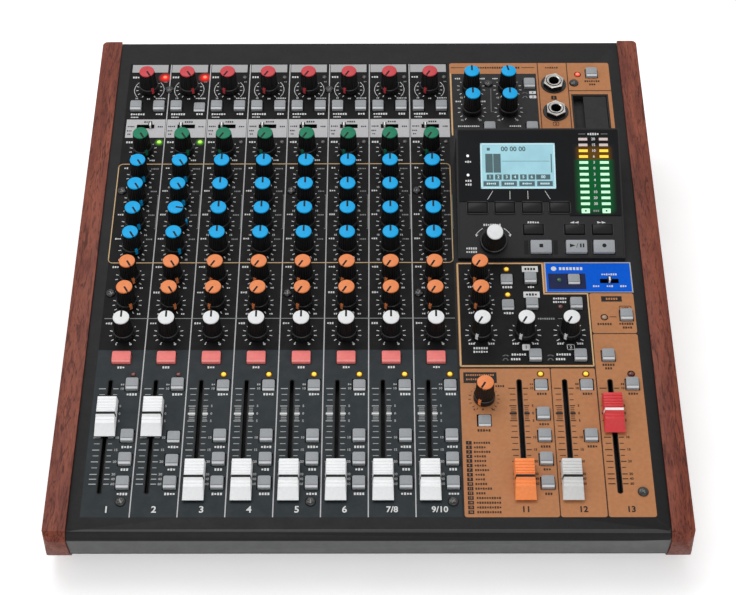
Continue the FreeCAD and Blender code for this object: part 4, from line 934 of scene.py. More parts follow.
def print_effect_column():
    deck.box("black_ink", 52.8, 71.3, 94.0, 101.2)
    each(deck.words, "copper_ink", (62.0, 99.3, 15.6, 1.4, INK_LIFT + 0.03),
         (58.4, 96.4, 8.4, 1.4, INK_LIFT + 0.03))
    deck.words("brown_ink", 72.8, 91.9, 5.4, 1.5)
    ring_ticks(deck, "brown_ink", MONITOR_COLUMN, EFFECT_ROW, count=17, low=7.4, high=8.8, width=0.35)
    for x, text in ((58.2, "0"), (62.9, "8"), (68.6, "16")):
        deck.number("brown_ink", text, x, 76.3, 1.3)
    deck.words("brown_ink", 63.0, 62.7, 7.4, 1.7)
    for row in range(EFFECT_LIST_ROWS):
        y = 54.7 - row * 2.887
        deck.box("black_ink", 52.9, 56.0, y - 1.1, y + 1.1)
        deck.number("copper_ink", str(row + 1), 54.4, y, 1.3, INK_LIFT + 0.03)
        width = random.choice((5.4, 6.2, 7.6, 8.6)) if row < 12 else 13.6
        deck.words("brown_ink", 57.2 + width / 2, y, width, 1.5)


def print_master_faders():
    for column in (EFFECT, SUB, MAIN):
        left = column_left(column)
        print_fader_scale(left, "black_ink", "brown_ink")
        deck.words("brown_ink", left + BUTTON_OFFSET, 86.7, 6.2, 1.6)
    for row, width in ((66.7, 5.8), (52.3, 5.6), (37.8, 4.6), (22.6, 4.4)):
        deck.words("brown_ink", 96.0, row, width, 1.6)
    deck.words("brown_ink", 121.3, 52.3, 5.6, 1.6)
    for x, text in ((83.5, "11"), (113.8, "12"), (139.1, "13")):
        deck.number("black_ink", text, x, 13.0, 3.6)


def print_master_section():
    print_copper_fields()
    print_copper_lines()
    print_tone_box()
    print_monitor_box()
    print_wireless_box()
    print_click_box()
    print_top_right()
    print_effect_column()
    print_master_faders()


# Knobs

def knob_mesh(name, cap):
    """A fluted knob: round skirt with a lighter ring at its top edge as a painted highlight, ribbed body,
    coloured cap with a pointer, and a pointer mark on the skirt.
    """
    form = bmesh.new()
    turned(form, [(5.7, 0.35), (5.98, 0.7), (5.98, 3.4), (5.94, 3.9)], KNOB_SIDES, 0, closed=False)
    # A lighter ring at the skirt's top edge: painted highlight
    turned(form, [(5.94, 3.9), (5.86, 4.2), (5.72, 4.35)], KNOB_SIDES, 3, closed=False)
    turned(form, [(5.72, 4.35), (5.5, 4.5)], KNOB_SIDES, 0, closed=False)
    turned(form, [(5.5, 4.5), (5.3, 6.0), (4.8, 14.9)], KNOB_SIDES, 0, flutes=24, depth=0.32, closed=False)
    turned_parts(form, ([(4.4, 14.9), (4.5, 15.3), (4.58, 15.45)], 0),
                 ([(4.58, 15.45), (4.62, 15.95), (4.5, 16.2), (4.25, 16.3)], 1))
    pointer_half = 0.56
    block(form, -pointer_half, pointer_half, 0.1, 4.35, 16.0, 16.33, 2)
    block(form, -pointer_half, pointer_half, 4.2, 4.66, 15.5, 16.1, 2)
    block(form, -0.8, 0.8, 5.0, 5.75, 4.3, 5.6, 1)
    block(form, -0.8, 0.8, 5.6, 6.02, 1.4, 4.5, 1)
    return to_mesh(name, form, ["knob_black", cap, "line_black", "knob_edge_highlight"])


def knob_meshes():
    caps = ("red_cap", "green_cap", "blue_cap", "orange_cap", "white_cap")
    return {cap: knob_mesh("knob_" + cap, cap) for cap in caps}


STRIP_KNOBS = (
    ("gain_knob", GAIN_ROW, "red_cap", "gain_and_compressor_knobs"),
    ("compressor_knob", COMPRESSOR_ROW, "green_cap", "gain_and_compressor_knobs"),
    ("treble_knob", EQUALISER_ROWS[0], "blue_cap", "equaliser_knobs"),
    ("middle_knob", EQUALISER_ROWS[1], "blue_cap", "equaliser_knobs"),
    ("middle_tune_knob", EQUALISER_ROWS[2], "blue_cap", "equaliser_knobs"),
    ("bass_knob", EQUALISER_ROWS[3], "blue_cap", "equaliser_knobs"),
    ("send_a_knob", SEND_ROWS[0], "orange_cap", "send_and_pan_knobs"),
    ("send_b_knob", SEND_ROWS[1], "orange_cap", "send_and_pan_knobs"),
    ("pan_knob", PAN_ROW, "white_cap", "send_and_pan_knobs"),
)

MASTER_KNOBS = (
    ("main_treble_knob", TONE_COLUMNS[0], GAIN_ROW, 0, "blue_cap"),
    ("main_bass_knob", TONE_COLUMNS[0], TONE_FRONT_ROW, 0, "blue_cap"),
    ("main_middle_knob", TONE_COLUMNS[1], GAIN_ROW, -12, "blue_cap"),
    ("main_tune_knob", TONE_COLUMNS[1], TONE_FRONT_ROW, 0, "blue_cap"),
    ("send_a_master_knob", MONITOR_COLUMN, SEND_ROWS[0], -150, "orange_cap"),
    ("send_b_master_knob", MONITOR_COLUMN, SEND_ROWS[1], -150, "orange_cap"),
    ("monitor_knob", MONITOR_COLUMN, PAN_ROW, -150, "white_cap"),
    ("headphone_knob_1", HEADPHONE_COLUMNS[0], PAN_ROW, -150, "white_cap"),
    ("headphone_knob_2", HEADPHONE_COLUMNS[1], PAN_ROW, -150, "white_cap"),
    ("effect_knob", MONITOR_COLUMN, EFFECT_ROW, -150, "orange_cap"),
)


def pointer_angle(kind, strip):
    """Where a strip knob points, clockwise from the back: the first two strips are turned up."""
    if kind == "pan_knob":
        return 0
    if strip == 0:
        return 150
    if strip == 1:
        return 100 if kind == "middle_tune_knob" else 150
    return 0 if kind in ("treble_knob", "middle_knob", "middle_tune_knob", "bass_knob") else -150


def add_knobs():
    meshes = knob_meshes()
    for kind, row, cap, group in STRIP_KNOBS:
        for strip in range(STRIPS):
            place = at(DECK, column_middle(strip), row, 0, pointer_angle(kind, strip))
            if strip == 0:
                dress(kind, meshes[cap], place)
            else:
                put("dressed_%s_%d" % (kind, strip + 1), meshes[cap], place, "case", [group])
    for name, x, y, turn, cap in MASTER_KNOBS:
        dress(name, meshes[cap], at(DECK, x, y, 0, turn))


def add_shafts():
    """The dark shafts of the knobs that turn, down to their potentiometers."""
    form = bmesh.new()
    turned(form, [(2.9, -1.3), (2.9, 0.9)], 24)
    mesh = to_mesh("knob_shaft", form, ["knob_black"])
    places = [(name, column_middle(0), row) for name, row, cap, group in STRIP_KNOBS]
    places += [(name, x, y) for name, x, y, turn, cap in MASTER_KNOBS]
    for name, x, y in places:
        put("shaft_" + name, mesh, at(DECK, x, y), name)


def jog_mesh():
    form = bmesh.new()
    turned(form, [(7.7, 0.35), (8.0, 0.8), (8.0, 2.4), (7.85, 2.8)], KNOB_SIDES, 0, closed=False)
    # A lighter ring at the flange's top edge: painted highlight
    turned(form, [(7.85, 2.8), (7.7, 3.0), (7.5, 3.1)], KNOB_SIDES, 2, closed=False)
    turned(form, [(7.5, 3.1), (7.2, 3.3)], KNOB_SIDES, 0, closed=False)
    turned(form, [(7.2, 3.3), (6.8, 4.6), (5.2, 13.6)], KNOB_SIDES, 0, flutes=32, depth=0.3, closed=False)
    turned_parts(form, ([(4.9, 13.6), (4.95, 14.9), (4.7, 15.2)], 0),
                 ([(4.7, 15.2), (4.68, 15.7), (4.4, 16.0), (3.6, 16.1)], 1))
    turned(form, [(2.9, -1.8), (2.9, 0.9)], 24, 0)
    return to_mesh("jog_dial_form", form, ["knob_black", "white_cap", "knob_edge_highlight"])


# Faders

FADER_SIDE = ((11.7, 1.4), (11.65, 2.6), (11.4, 6.4), (9.7, 6.2), (9.55, 5.8), (9.05, 5.75), (8.9, 6.15),
              (7.9, 6.1), (7.75, 5.65), (7.25, 5.6), (7.1, 6.0), (6.1, 6.0), (5.95, 5.55), (5.45, 5.55),
              (5.3, 6.0), (4.3, 6.1), (4.15, 5.65), (3.65, 5.7), (3.5, 6.2), (2.5, 6.4), (2.35, 5.95),
              (1.85, 6.0), (1.5, 6.6), (0.85, 7.2), (-0.85, 7.2), (-1.5, 6.5), (-1.85, 5.9), (-2.35, 5.8),
              (-2.5, 6.1), (-3.5, 5.9), (-3.65, 5.5), (-4.15, 5.4), (-4.3, 5.7), (-5.7, 5.4), (-6.2, 4.7),
              (-11.7, 1.9), (-11.7, 1.4))
FADER_CREST = 7.2
FADER_DRAFT = 0.7


def fader_mesh(name, cap, line):
    """A fader cap with grip ribs each side of its crest, a centre line, and its lever."""
    form = bmesh.new()
    across(form, [(y, z) for y, z in FADER_SIDE], -FADER_HALF, FADER_HALF, 0, FADER_DRAFT)
    soften(form, 0.22, 2, 30.0)
    crest = FADER_HALF - FADER_DRAFT
    half = 0.8
    corners = ((-crest, -half), (crest, -half), (crest, half), (-crest, half))
    top = [form.verts.new((x, y, FADER_CREST + 0.04)) for x, y in corners]
    lid(form, top, 1)
    for side in (-1, 1):
        foot = side * (FADER_HALF - FADER_DRAFT * 0.30 + 0.03)
        edge = side * (crest + 0.03)
        points = [form.verts.new(point) for point in ((edge, -half, FADER_CREST + 0.04),
                                                      (edge, half, FADER_CREST + 0.04),
                                                      (foot, half, 3.4), (foot, -half, 3.4))]
        lid(form, points, 1)
    block(form, -0.6, 0.6, -3.0, 3.0, -6.0, 1.4, 2)
    return to_mesh(name, form, [cap, line, "lever_steel"], 28.0)


FADERS = (
    ("fader_effect", EFFECT, 0.0, "line_black", "fader_orange"),
    ("fader_sub", SUB, 0.0, "line_black", "fader_grey"),
    ("fader_main", MAIN, MAIN_RAISED, "line_white", "fader_red"),
)


def add_faders():
    white = fader_mesh("fader_white_form", "fader_white", "line_black")
    for strip in range(STRIPS):
        raised = RAISED if strip < 2 else 0.0
        name = "fader_%d" % (strip + 1)
        place = at(DECK, column_left(strip) + FADER_OFFSET, FADER_REST + raised)
        dress(name, white, place)
    for name, column, raised, line, slot in FADERS:
        place = at(DECK, column_left(column) + FADER_OFFSET, FADER_REST + raised)
        dress(name, fader_mesh(name + "_form", slot, line), place)


# Buttons, keys and switches

def add_button(form, x, y, half, top):
    """A push button: rounded back corners, chamfered front lip in a lighter colour as a painted highlight, and
    a fine darker line before the lip as painted shade.
    """
    fresh = bmesh.new()
    length = 3.6
    outline = [(-length, -2.4), (length, -2.4), (length, top), (-length + 1.3, top), (-length, top - 0.9)]
    across(fresh, outline, -half, half)
    fresh.normal_update()
    # The chamfered front lip takes a lighter copy of the button's colour: painted highlight
    for entry in fresh.faces:
        if entry.normal.y < -0.5 and entry.normal.z > 0.5:
            entry.material_index = 1
    back = [edge for edge in fresh.edges
            if all(point.co.y > length - 0.1 for point in edge.verts)
            and abs(edge.verts[0].co.x - edge.verts[1].co.x) < 0.1]
    bmesh.ops.bevel(fresh, geom=back, offset=0.9, segments=3, profile=0.5, affect="EDGES")
    soften(fresh, 0.22, 2, 30.0, lambda edge: max(point.co.z for point in edge.verts) > top - 1.4)
    # A darker strip before the lip: painted shade
    block(fresh, -half + 0.35, half - 0.35, -length + 1.45, -length + 1.75, top - 0.3, top + 0.02, 2)
    fresh.transform(Matrix.Translation((x, y, 0)))
    spare = bpy.data.meshes.new("spare")
    fresh.to_mesh(spare)
    fresh.free()
    form.from_mesh(spare)
    bpy.data.meshes.remove(spare)


BUTTON_FINISHES = ("button_grey", "button_lip_highlight", "button_line_shade")


def button_group(node, places, top, half=BUTTON_HALF, finishes=BUTTON_FINISHES):
    form = bmesh.new()
    for x, y in places:
        add_button(form, x, y, half, top)
    dress(node, to_mesh("dressed_" + node, form, finishes), DECK)


def in_column(column, offset, row):
    return (column_left(column) + offset, row)


def latched_places():
    places = [in_column(column, BUTTON_OFFSET, MUTE_ROW) for column in list(range(2, STRIPS)) + [EFFECT, SUB]]
    places += [in_column(1, BUTTON_OFFSET, ASSIGN_ROWS[0]), in_column(1, BUTTON_OFFSET, ASSIGN_ROWS[1])]
    places.append((column_middle(1) + TOP_BUTTON_OFFSET, TOP_BUTTON_ROW))
    places += [(79.95, 167.0), (79.95, 148.6), (119.0, 167.0), (63.65, 69.2)]
    return places


def without_latched(places):
    latched = latched_places()
    return [place for place in places
            if all(math.dist(place, other) > 1.0 for other in latched)]


def upper_places():
    return without_latched([(column_middle(strip) + side, TOP_BUTTON_ROW)
                            for strip in range(STRIPS) for side in (-TOP_BUTTON_OFFSET, TOP_BUTTON_OFFSET)])


def fader_button_places():
    columns = list(range(STRIPS)) + [EFFECT, SUB, MAIN]
    places = [in_column(column, BUTTON_OFFSET, MUTE_ROW) for column in columns]
    for row in ASSIGN_ROWS:
        places += [in_column(column, BUTTON_OFFSET, row) for column in list(range(STRIPS)) + [EFFECT]]
    places += [in_column(EFFECT, BUTTON_OFFSET, 73.1), in_column(SUB, BUTTON_OFFSET, ASSIGN_ROWS[0])]
    return without_latched(places)


MASTER_BUTTONS = ((74.7, 285.15), (101.0, 285.15), (101.0, 322.35), (140.85, 331.45), (93.65, 167.0),
                  (93.65, 148.6), (119.0, 148.6), (147.05, 140.4), (93.65, 112.3), (119.0, 112.3),
                  (134.55, 112.3))


def add_buttons():
    button_group("upper_buttons", upper_places(), BUTTON_TOP)
    button_group("fader_buttons", fader_button_places(), BUTTON_TOP)
    button_group("master_buttons", MASTER_BUTTONS, BUTTON_TOP)
    button_group("latched_buttons", latched_places(), LATCHED_TOP)
    record = [(column_middle(strip), RECORD_ROW) for strip in range(STRIPS)]
    button_group("record_buttons", record, BUTTON_TOP, RECORD_HALF,
                 ("record_pink", "record_lip_highlight", "record_pink"))


def nib_mesh(places):
    """Slide switch nibs: black, with a white line over the top and down the front."""
    form = bmesh.new()
    for x, y in places:
        block(form, x - 1.2, x + 1.2, y - 1.2, y + 1.2, -1.2, 2.5, 0)
        block(form, x - 0.5, x + 0.5, y - 1.25, y + 1.25, -0.4, 2.6, 1)
    return form


def add_switches():
    rest = [(column_middle(strip) - SWITCH_HALF_TRAVEL, MODE_ROW) for strip in range(1, STRIPS)]
    first = [(column_middle(0) + SWITCH_HALF_TRAVEL, MODE_ROW)]
    assign = [(139.35, 165.4)]
    for node, places in (("mode_switches", rest), ("mode_switch_1", first), ("assign_switch", assign)):
        dress(node, to_mesh("dressed_" + node, nib_mesh(places), ["line_black", "line_white"]), DECK)


# Lights and screws

CORES = {"red_lit": "red_core", "green_lit": "green_core", "amber_lit": "amber_core"}
HALOS = {"red_lit": "red_halo", "green_lit": "green_halo"}
HALO_REACH = {"red_halo": 4.5, "green_halo": 3.3}


def light_mesh(name, lens):
    """A domed lens with a hotter core where it is lit."""
    form = bmesh.new()
    turned(form, [(1.5, 0.05), (1.48, 0.3), (1.15, 0.66)], 28, 0, closed=False)
    turned(form, [(1.15, 0.66), (0.8, 0.82), (0.3, 0.9)], 28, 1)
    return to_mesh(name, form, [lens, CORES.get(lens, lens)], 60.0)


def glow_mesh(name, reach):
    form = bmesh.new()
    lid(form, ring(form, reach, 0.0, 32))
    return to_mesh(name, form, [name])


def light_places():
    """Every light on the deck with the finish of its lens."""
    lights = []
    for strip in range(STRIPS):
        left = column_left(strip)
        lit = strip < 2
        lights.append((left + 22.0, 328.85, "red_lit" if lit else "grey_dark"))
        lights.append((left + 22.0, 273.85, "green_lit" if lit else "grey_dark"))
        lights.append((left + BUTTON_OFFSET, 100.0, "red_dark" if lit else "amber_lit"))
    lights += [(132.05, 330.85, "red_lit"), (80.05, 174.1, "amber_lit"), (80.05, 155.5, "amber_lit"),
               (109.9, 146.8, "red_dark"), (110.4, 166.2, "green_dark"), (134.45, 139.3, "clear_lens"),
               (95.85, 100.0, "amber_lit"), (121.1, 100.0, "amber_lit"), (146.35, 100.0, "red_dark")]
    return lights


def add_lights():
    lenses = sorted({lens for x, y, lens in light_places()} | {"white_lit"})
    meshes = {lens: light_mesh("light_" + lens, lens) for lens in lenses}
    glows = {halo_name: glow_mesh(halo_name, reach) for halo_name, reach in HALO_REACH.items()}
    for index, (x, y, lens) in enumerate(light_places()):
        put("light_%02d" % index, meshes[lens], at(DECK, x, y), "case", ["indicator_lights"])
        if x > 130:
            deck.arc("brown_ink", x, y, 1.9, 0.5, 0, 360)
        elif lens in HALOS:
            put("halo_%02d" % index, glows[HALOS[lens]], at(DECK, x, y, 0.1), "case")
        elif lens == "amber_lit":
            # Round a lit amber lamp: a ring of painted light
            deck.arc("amber_painted_glow", x, y, 1.8, 0.5, 0, 360)
    small = meshes["white_lit"].copy()
    small.transform(Matrix.Scale(0.55, 4))
    for index, row in enumerate((52.4, 64.8)):
        put("status_light_%d" % index, small, at(HOUSING, 58.85, row, 0.55), "case")


def screw_mesh():
    """A low round head with a cross recess, whose walls and floor are lighter as a painted glint."""
    form = bmesh.new()
    turned(form, [(2.9, 0.02), (2.88, 0.5), (2.5, 1.05), (1.9, 1.35), (1.2, 1.5)], 36, 0)
    lid(form, ring(form, 2.9, 0.0, 36), 0, True)
    bmesh.ops.remove_doubles(form, verts=form.verts, dist=0.03)
    finishes = ["screw", "screw_wear"]
    head = bpy.data.objects.new("screw_head", to_mesh("screw_head", form, finishes, 50.0))
    cutter_form = bmesh.new()
    # The cross's walls and floor take the lighter finish: painted glint
    block(cutter_form, -0.38, 0.38, -1.75, 1.75, 0.9, 2.5, 1)
    block(cutter_form, -1.75, 1.75, -0.38, 0.38, 0.9, 2.5, 1)
    cutter = bpy.data.objects.new("screw_cross", to_mesh("screw_cross", cutter_form, finishes))
    for piece in (head, cutter):
        bpy.context.scene.collection.objects.link(piece)
    cut = head.modifiers.new("cross", "BOOLEAN")
    cut.operation = "DIFFERENCE"
    cut.object = cutter
    cut.use_self = True
    graph = bpy.context.evaluated_depsgraph_get()
    mesh = bpy.data.meshes.new_from_object(head.evaluated_get(graph))
    for piece in (head, cutter):
        bpy.data.objects.remove(piece)
    return mesh


SCREWS = ((-126.25, 318.05), (-25.25, 318.05), (-149.0, 234.5), (-47.0, 234.5), (28.75, 234.5),
          (-149.0, 157.0), (-47.0, 157.0), (28.75, 157.0), (-131.7, 18.0), (-30.7, 18.0), (45.05, 18.0),
          (146.25, 23.8), (129.25, 323.35), (75.1, 322.85))


def add_screws():
    mesh = screw_mesh()
    for index, (x, y) in enumerate(SCREWS):
        put("screw_%02d" % index, mesh, at(DECK, x, y, 0, 30 * index), "case", ["panel_screws"])


# Headphone jacks

def hexagon(form, across_flats, height, limit, sides=48):
    """A ring on a hexagon, no further out than the limit."""
    points = []
    for index in range(sides):
        angle = 2 * math.pi * index / sides
        from_flat = (math.degrees(angle) + 30) % 60 - 30
        reach = min(across_flats / 2 / math.cos(math.radians(from_flat)), limit)
        points.append(form.verts.new((reach * math.cos(angle), reach * math.sin(angle), height)))
    return points


def jack_mesh():
    """A panel jack: dark washer, bright hexagon nut with chamfered corners, sleeve, bore and the body below."""
    form = bmesh.new()
    turned(form, [(7.9, 0.1), (7.9, 0.6), (7.6, 0.8), (5.0, 0.8)], 64, 1, closed=False)
    rings = [hexagon(form, 11.6, 0.8, 9.0), hexagon(form, 11.6, 3.4, 9.0), hexagon(form, 11.1, 3.7, 9.0),
             ring(form, 4.9, 3.7, 48), ring(form, 4.6, 3.4, 48)]
    for low, high, slot in zip(rings, rings[1:], (1, 0, 0, 1)):
        skin(form, low, high, slot)
    sleeve = [ring(form, radius, height, 48) for radius, height in ((4.6, 3.4), (4.4, 4.1), (3.7, 4.1),
                                                                    (3.2, 3.8))]
    skins(form, sleeve)
    bore = [ring(form, 3.2, 3.8, 48), ring(form, 3.2, -7.6, 48)]
    skin(form, bore[0], bore[1], 2)
    lid(form, bore[1], 2)
    turned(form, [(4.4, -1.6), (4.4, 0.8)], 32, 1, closed=False)
    block(form, -6.4, 6.4, -6.4, 6.4, -8.8, -1.8, 2)
    return to_mesh("jack_form", form, ["chrome", "washer", "hole"], 30.0)


def add_jacks():
    mesh = jack_mesh()
    for index, y in enumerate(JACK_ROWS):
        put("dressed_headphone_jack_%d" % (index + 1), mesh, at(DECK, JACK_COLUMN, y, 0, 14 * index), "case",
            ["headphone_jacks"])


# Display housing

housing = Marks("housing_print", HOUSING, "case", 0.06)
window = Marks("window_print", HOUSING, "case", 0.56)
screen = Marks("screen_print", HOUSING, "case", 0.46)

METER_ROWS = (75.56, 71.79, 68.0, 64.27, 60.4, 56.64, 52.81, 49.04, 45.25, 41.39, 37.64, 33.88)
METER_COLUMNS = ((125.1, 130.4), (137.35, 142.6))
METER_NUMBERS = ("20", "15", "10", "6", "3", "0", "3", "4", "7", "10", "20", "30")


def print_meter():
    window.box("glow_amber", 121.4, 146.4, 62.4, 72.3, 0.52)
    window.box("glow_green", 121.4, 146.4, 26.6, 62.4, 0.52)
    window.words("white_ink", 134.0, 78.9, 7.6, 1.6)
    each(window.box, "soft_ink", (125.2, 129.4, 78.8, 79.1), (138.6, 142.6, 78.8, 79.1))
    for index, row in enumerate(METER_ROWS):
        ink = "meter_pink" if index < 2 else "meter_amber" if index < 4 else "meter_green"
        for left, right in METER_COLUMNS:
            window.box(ink, left, right, row - 0.85, row + 0.85)
        window.number("white_ink", METER_NUMBERS[index], 133.9, row, 1.7)
    for left, right in METER_COLUMNS:
        window.rounded("meter_green", left + 0.2, right - 0.2, 27.9, 30.9, 0.4)
        window.words("glow_green", (left + right) / 2, 29.4, 1.6, 1.6, 0.6)
    window.words("soft_ink", 133.9, 29.4, 3.6, 1.4)


def print_window():
    for start, end in (((73.3, 42.2), (70.0, 36.6)), ((83.4, 42.2), (83.3, 36.9)),
                       ((93.9, 42.2), (94.0, 36.9)), ((104.1, 42.2), (107.1, 36.9))):
        window.line("white_ink", start, end, 0.3)
    for y, width in ((61.0, 4.2), (48.7, 4.2), (46.3, 4.0)):
        window.words("white_ink", 59.0, y, width, 1.5)
    print_meter()


def print_screen():
    """Plain content: a clock, two bars and rows of numbered boxes."""
    left, right, front, back = 66.4, 110.8, 43.7, 73.1
    rim = 0.9
    for x0, x1, y0, y1 in ((left, right, back - rim, back), (left, right, front, front + rim),
                           (left, left + rim, front, back), (right - rim, right, front, back)):
        screen.box("glass_pale", x0, x1, y0, y1)
    screen.box("glass_ink", 70.3, 72.1, 68.3, 70.1)
    screen.number("glass_ink", "00 00 00", 86.0, 69.2, 3.0)
    for x in (69.3, 74.0):
        screen.box("glass_ink", x, x + 4.4, 54.0, 66.2)
    each(screen.box, "glass_ink", (78.9, 107.6, 61.3, 61.5), (108.2, 108.8, 54.0, 66.1))
    for index in range(6):
        x = 69.9 + index * 4.95
        screen.box("glass_ink", x, x + 3.9, 49.5, 52.8)
        screen.number("glass_pale", str(index + 1), x + 1.95, 51.15, 1.9, 0.48)
    screen.box("glass_ink", 99.2, 107.6, 49.5, 52.8)
    screen.number("glass_pale", "00", 103.4, 51.15, 1.9, 0.48)
    for index in range(4):
        x = 67.9 + index * 10.6
        screen.box("glass_ink", x, x + 9.2, 45.3, 48.5)
        screen.words("glass_pale", x + 4.6, 46.9, 5.6, 1.3, 0.48)


def print_housing():
    housing.words("white_ink", 96.6, 22.2, 6.6, 1.6)
    for x, sign in ((120.9, -1), (136.6, 1)):
        for step in (-1.3, 1.3):
            tip = x + step + sign * 1.3
            tail = x + step - sign * 1.1
            housing.polygon("white_ink", [(tail, 21.2), (tip, 22.1), (tail, 23.0)][::sign])
    each(housing.words, "white_ink", (72.4, 20.8, 11.0, 1.5), (60.1, 6.0, 6.0, 1.5), (60.1, 3.8, 7.0, 1.5))
    for sign in (-1, 1):
        housing.arc("white_ink", 73.0, 8.4, 11.9, 0.4, sign * 32, sign * 58)
        housing.polygon("white_ink", [(73.0 + sign * 10.6, 14.9), (73.0 + sign * 8.9, 14.5),
                                      (73.0 + sign * 10.0, 13.3)][::-sign])
    housing.path("black_ink", rounded_outline(53.2, 148.8, 0.6, 82.2, 1.2, 2), 0.3, True, 0.04)


def key_mesh(name, width, length, top, cap, rim=0.5):
    form = bmesh.new()
    block(form, -width / 2, width / 2, -length / 2, length / 2, -1.5, top, 0)
    soften(form, rim, 2, 30.0, lambda edge: max(point.co.z for point in edge.verts) > top - 0.1)
    return to_mesh(name, form, [cap])


def key_places():
    places = [("soft", 64.0 + index * 16.13, 31.6) for index in range(4)]
    places += [("soft", 96.6, 17.8), ("soft", 120.8, 17.8), ("soft", 137.0, 17.8)]
    places += [("transport", 100.7, 6.6), ("transport", 121.4, 6.6), ("transport", 137.5, 6.6)]
    return places


def add_keys():
    meshes = {"soft": key_mesh("soft_key", 11.2, 6.0, 1.0, "key_black"),
              "transport": key_mesh("transport_key", 12.4, 8.0, 2.3, "key_grey", 0.6)}
    for index, (kind, x, y) in enumerate(key_places()):
        put("dressed_key_%d" % index, meshes[kind], at(HOUSING, x, y), "display_keys", ["display_keys"])
    symbols = Marks("key_symbol", HOUSING, "display_keys", 2.33)
    symbols.box("black_ink", 99.6, 101.8, 5.8, 8.0)
    symbols.polygon("black_ink", [(117.4, 5.7), (120.6, 6.9), (117.4, 8.1)])
    symbols.line("black_ink", (121.2, 5.6), (122.2, 8.2), 0.3)
    for x in (123.3, 124.9):
        symbols.box("black_ink", x, x + 0.9, 5.7, 8.1)
    symbols.disc("black_ink", 137.5, 6.9, 1.25)
    symbols.make()


def add_key_wells():
    """Dark lines as painted shade for the wells round the keys, and lighter lines as a painted highlight on
    their raised rims.
    """
    for kind, x, y in key_places():
        half_x, half_y = (6.1, 3.5) if kind == "soft" else (6.7, 4.5)
        lift = 0.56 if y > 27 else 0.06
        marks = window if y > 27 else housing
        outline = rounded_outline(x - half_x, x + half_x, y - half_y, y + half_y, 0.8, 2)
        # A dark line round each key: painted shade in its well
        marks.path("line_black", outline, 0.5, True, lift)
        rim = rounded_outline(x - half_x - 0.4, x + half_x + 0.4, y - half_y - 0.4, y + half_y + 0.4, 1.4, 3)
        # A lighter line outside it: painted highlight on the raised rim
        marks.path("rim_highlight_ink", rim, 0.3, True, lift)
    for x in (92.2, 109.2):
        housing.box("line_black", x - 1.3, x + 1.3, 2.2, 11.0)


# Rear wall

rear = Marks("rear_print", REAR, "case", 0.05)


def combination_mesh():
    """Details of a combination socket: bevelled ring, contact holes, centre jack and release tab."""
    form = bmesh.new()
    outer = [ring(form, radius, height, 48) for radius, height in ((11.2, 1.5), (10.8, 1.9), (8.8, 1.9),
                                                                   (8.0, 1.2))]
    skins(form, outer)
    turned(form, [(7.9, -13.0), (7.9, -9.6)], 48, 0)
    for angle in (30, 150, 270):
        x = 4.6 * math.cos(math.radians(angle))
        y = 4.6 * math.sin(math.radians(angle))
        turned(form, [(1.5, -9.6), (1.5, -9.2), (1.0, -9.2), (1.0, -9.55)], 16, 1, (x, y))
    turned(form, [(3.6, -9.6), (3.6, -8.8), (3.0, -8.8), (3.0, -9.5)], 32, 1)
    block(form, -2.0, 2.0, -10.6, -8.9, 1.5, 2.2, 1)
    return to_mesh("combination_form", form, ["socket_plastic", "chrome"], 30.0)


def rear_jack_mesh():
    form = bmesh.new()
    rings = [hexagon(form, 9.2, 1.2, 9.0), hexagon(form, 9.2, 2.0, 9.0), hexagon(form, 9.2, 2.3, 4.7),
             ring(form, 3.7, 2.3, 48), ring(form, 3.2, 2.0, 48), ring(form, 3.2, -11.0, 48)]
    skins(form, rings)
    return to_mesh("rear_jack_form", form, ["chrome"], 30.0)


def add_rear():
    combination = combination_mesh()
    jack = rear_jack_mesh()
    small = screw_mesh()
    small.transform(Matrix.Scale(0.5, 4))
    for strip in range(STRIPS):
        x = column_middle(strip)
        put("socket_detail_%d" % (strip + 1), combination, at(REAR, x, -58.0), "case")
        for side in (-1, 1):
            put("socket_screw_%d_%s" % (strip + 1, "a" if side < 0 else "b"), small,
                at(REAR, x + side * 9.4, -58.0 + side * 11.0, 1.45, 20 * strip), "case")
        rear.number("white_ink", str(strip + 1), x, -38.0, 3.0)
    for index, (x, height) in enumerate(((63.125, 58.0), (88.375, 58.0), (63.125, 27.0), (88.375, 27.0))):
        put("rear_jack_%d" % (index + 1), jack, at(REAR, x, -height), "case")
        rear.words("white_ink", x, -height + 11.0, 8.0, 1.6)
    each(rear.words, "white_ink", (113.6, -33.5, 6.0, 1.6), (132.8, -36.0, 6.0, 1.6))
    rear.make()


# Carried-over nodes

NODE_FINISH = {
    "bottom_case": "case_paint",
    "display_housing": "housing_plastic",
    "display_window": "window",
    "lcd_screen": "screen",
    "circuit_boards": "board",
    "potentiometers": "pot_dark",
    "rear_sockets": "socket_plastic",
    "card_recess": "card_plastic",
    "card_cover": "card_plastic",
    "rubber_feet": "rubber",
    "power_switch": "key_black",
    "left_cheek": "wood",
    "right_cheek": "wood",
}


def dress_nodes():
    for name, finish_name in NODE_FINISH.items():
        data = frame_node(name)
        for slot in data.material_slots:
            slot.link = "OBJECT"
            slot.material = FINISH[finish_name]


def softened_copy(node, finish_name, size):
    """A node's own form with rounded edges, in its place."""
    form = bmesh.new()
    form.from_mesh(frame_node(node).data)
    form.transform(Matrix.Scale(1 / MM, 4))
    bmesh.ops.remove_doubles(form, verts=form.verts, dist=0.001)
    bmesh.ops.dissolve_limit(form, angle_limit=math.radians(1.0), verts=form.verts, edges=form.edges)
    soften(form, size, 3, 30.0)
    dress(node, to_mesh("dressed_" + node, form, [finish_name]), Matrix.Identity(4), "case")


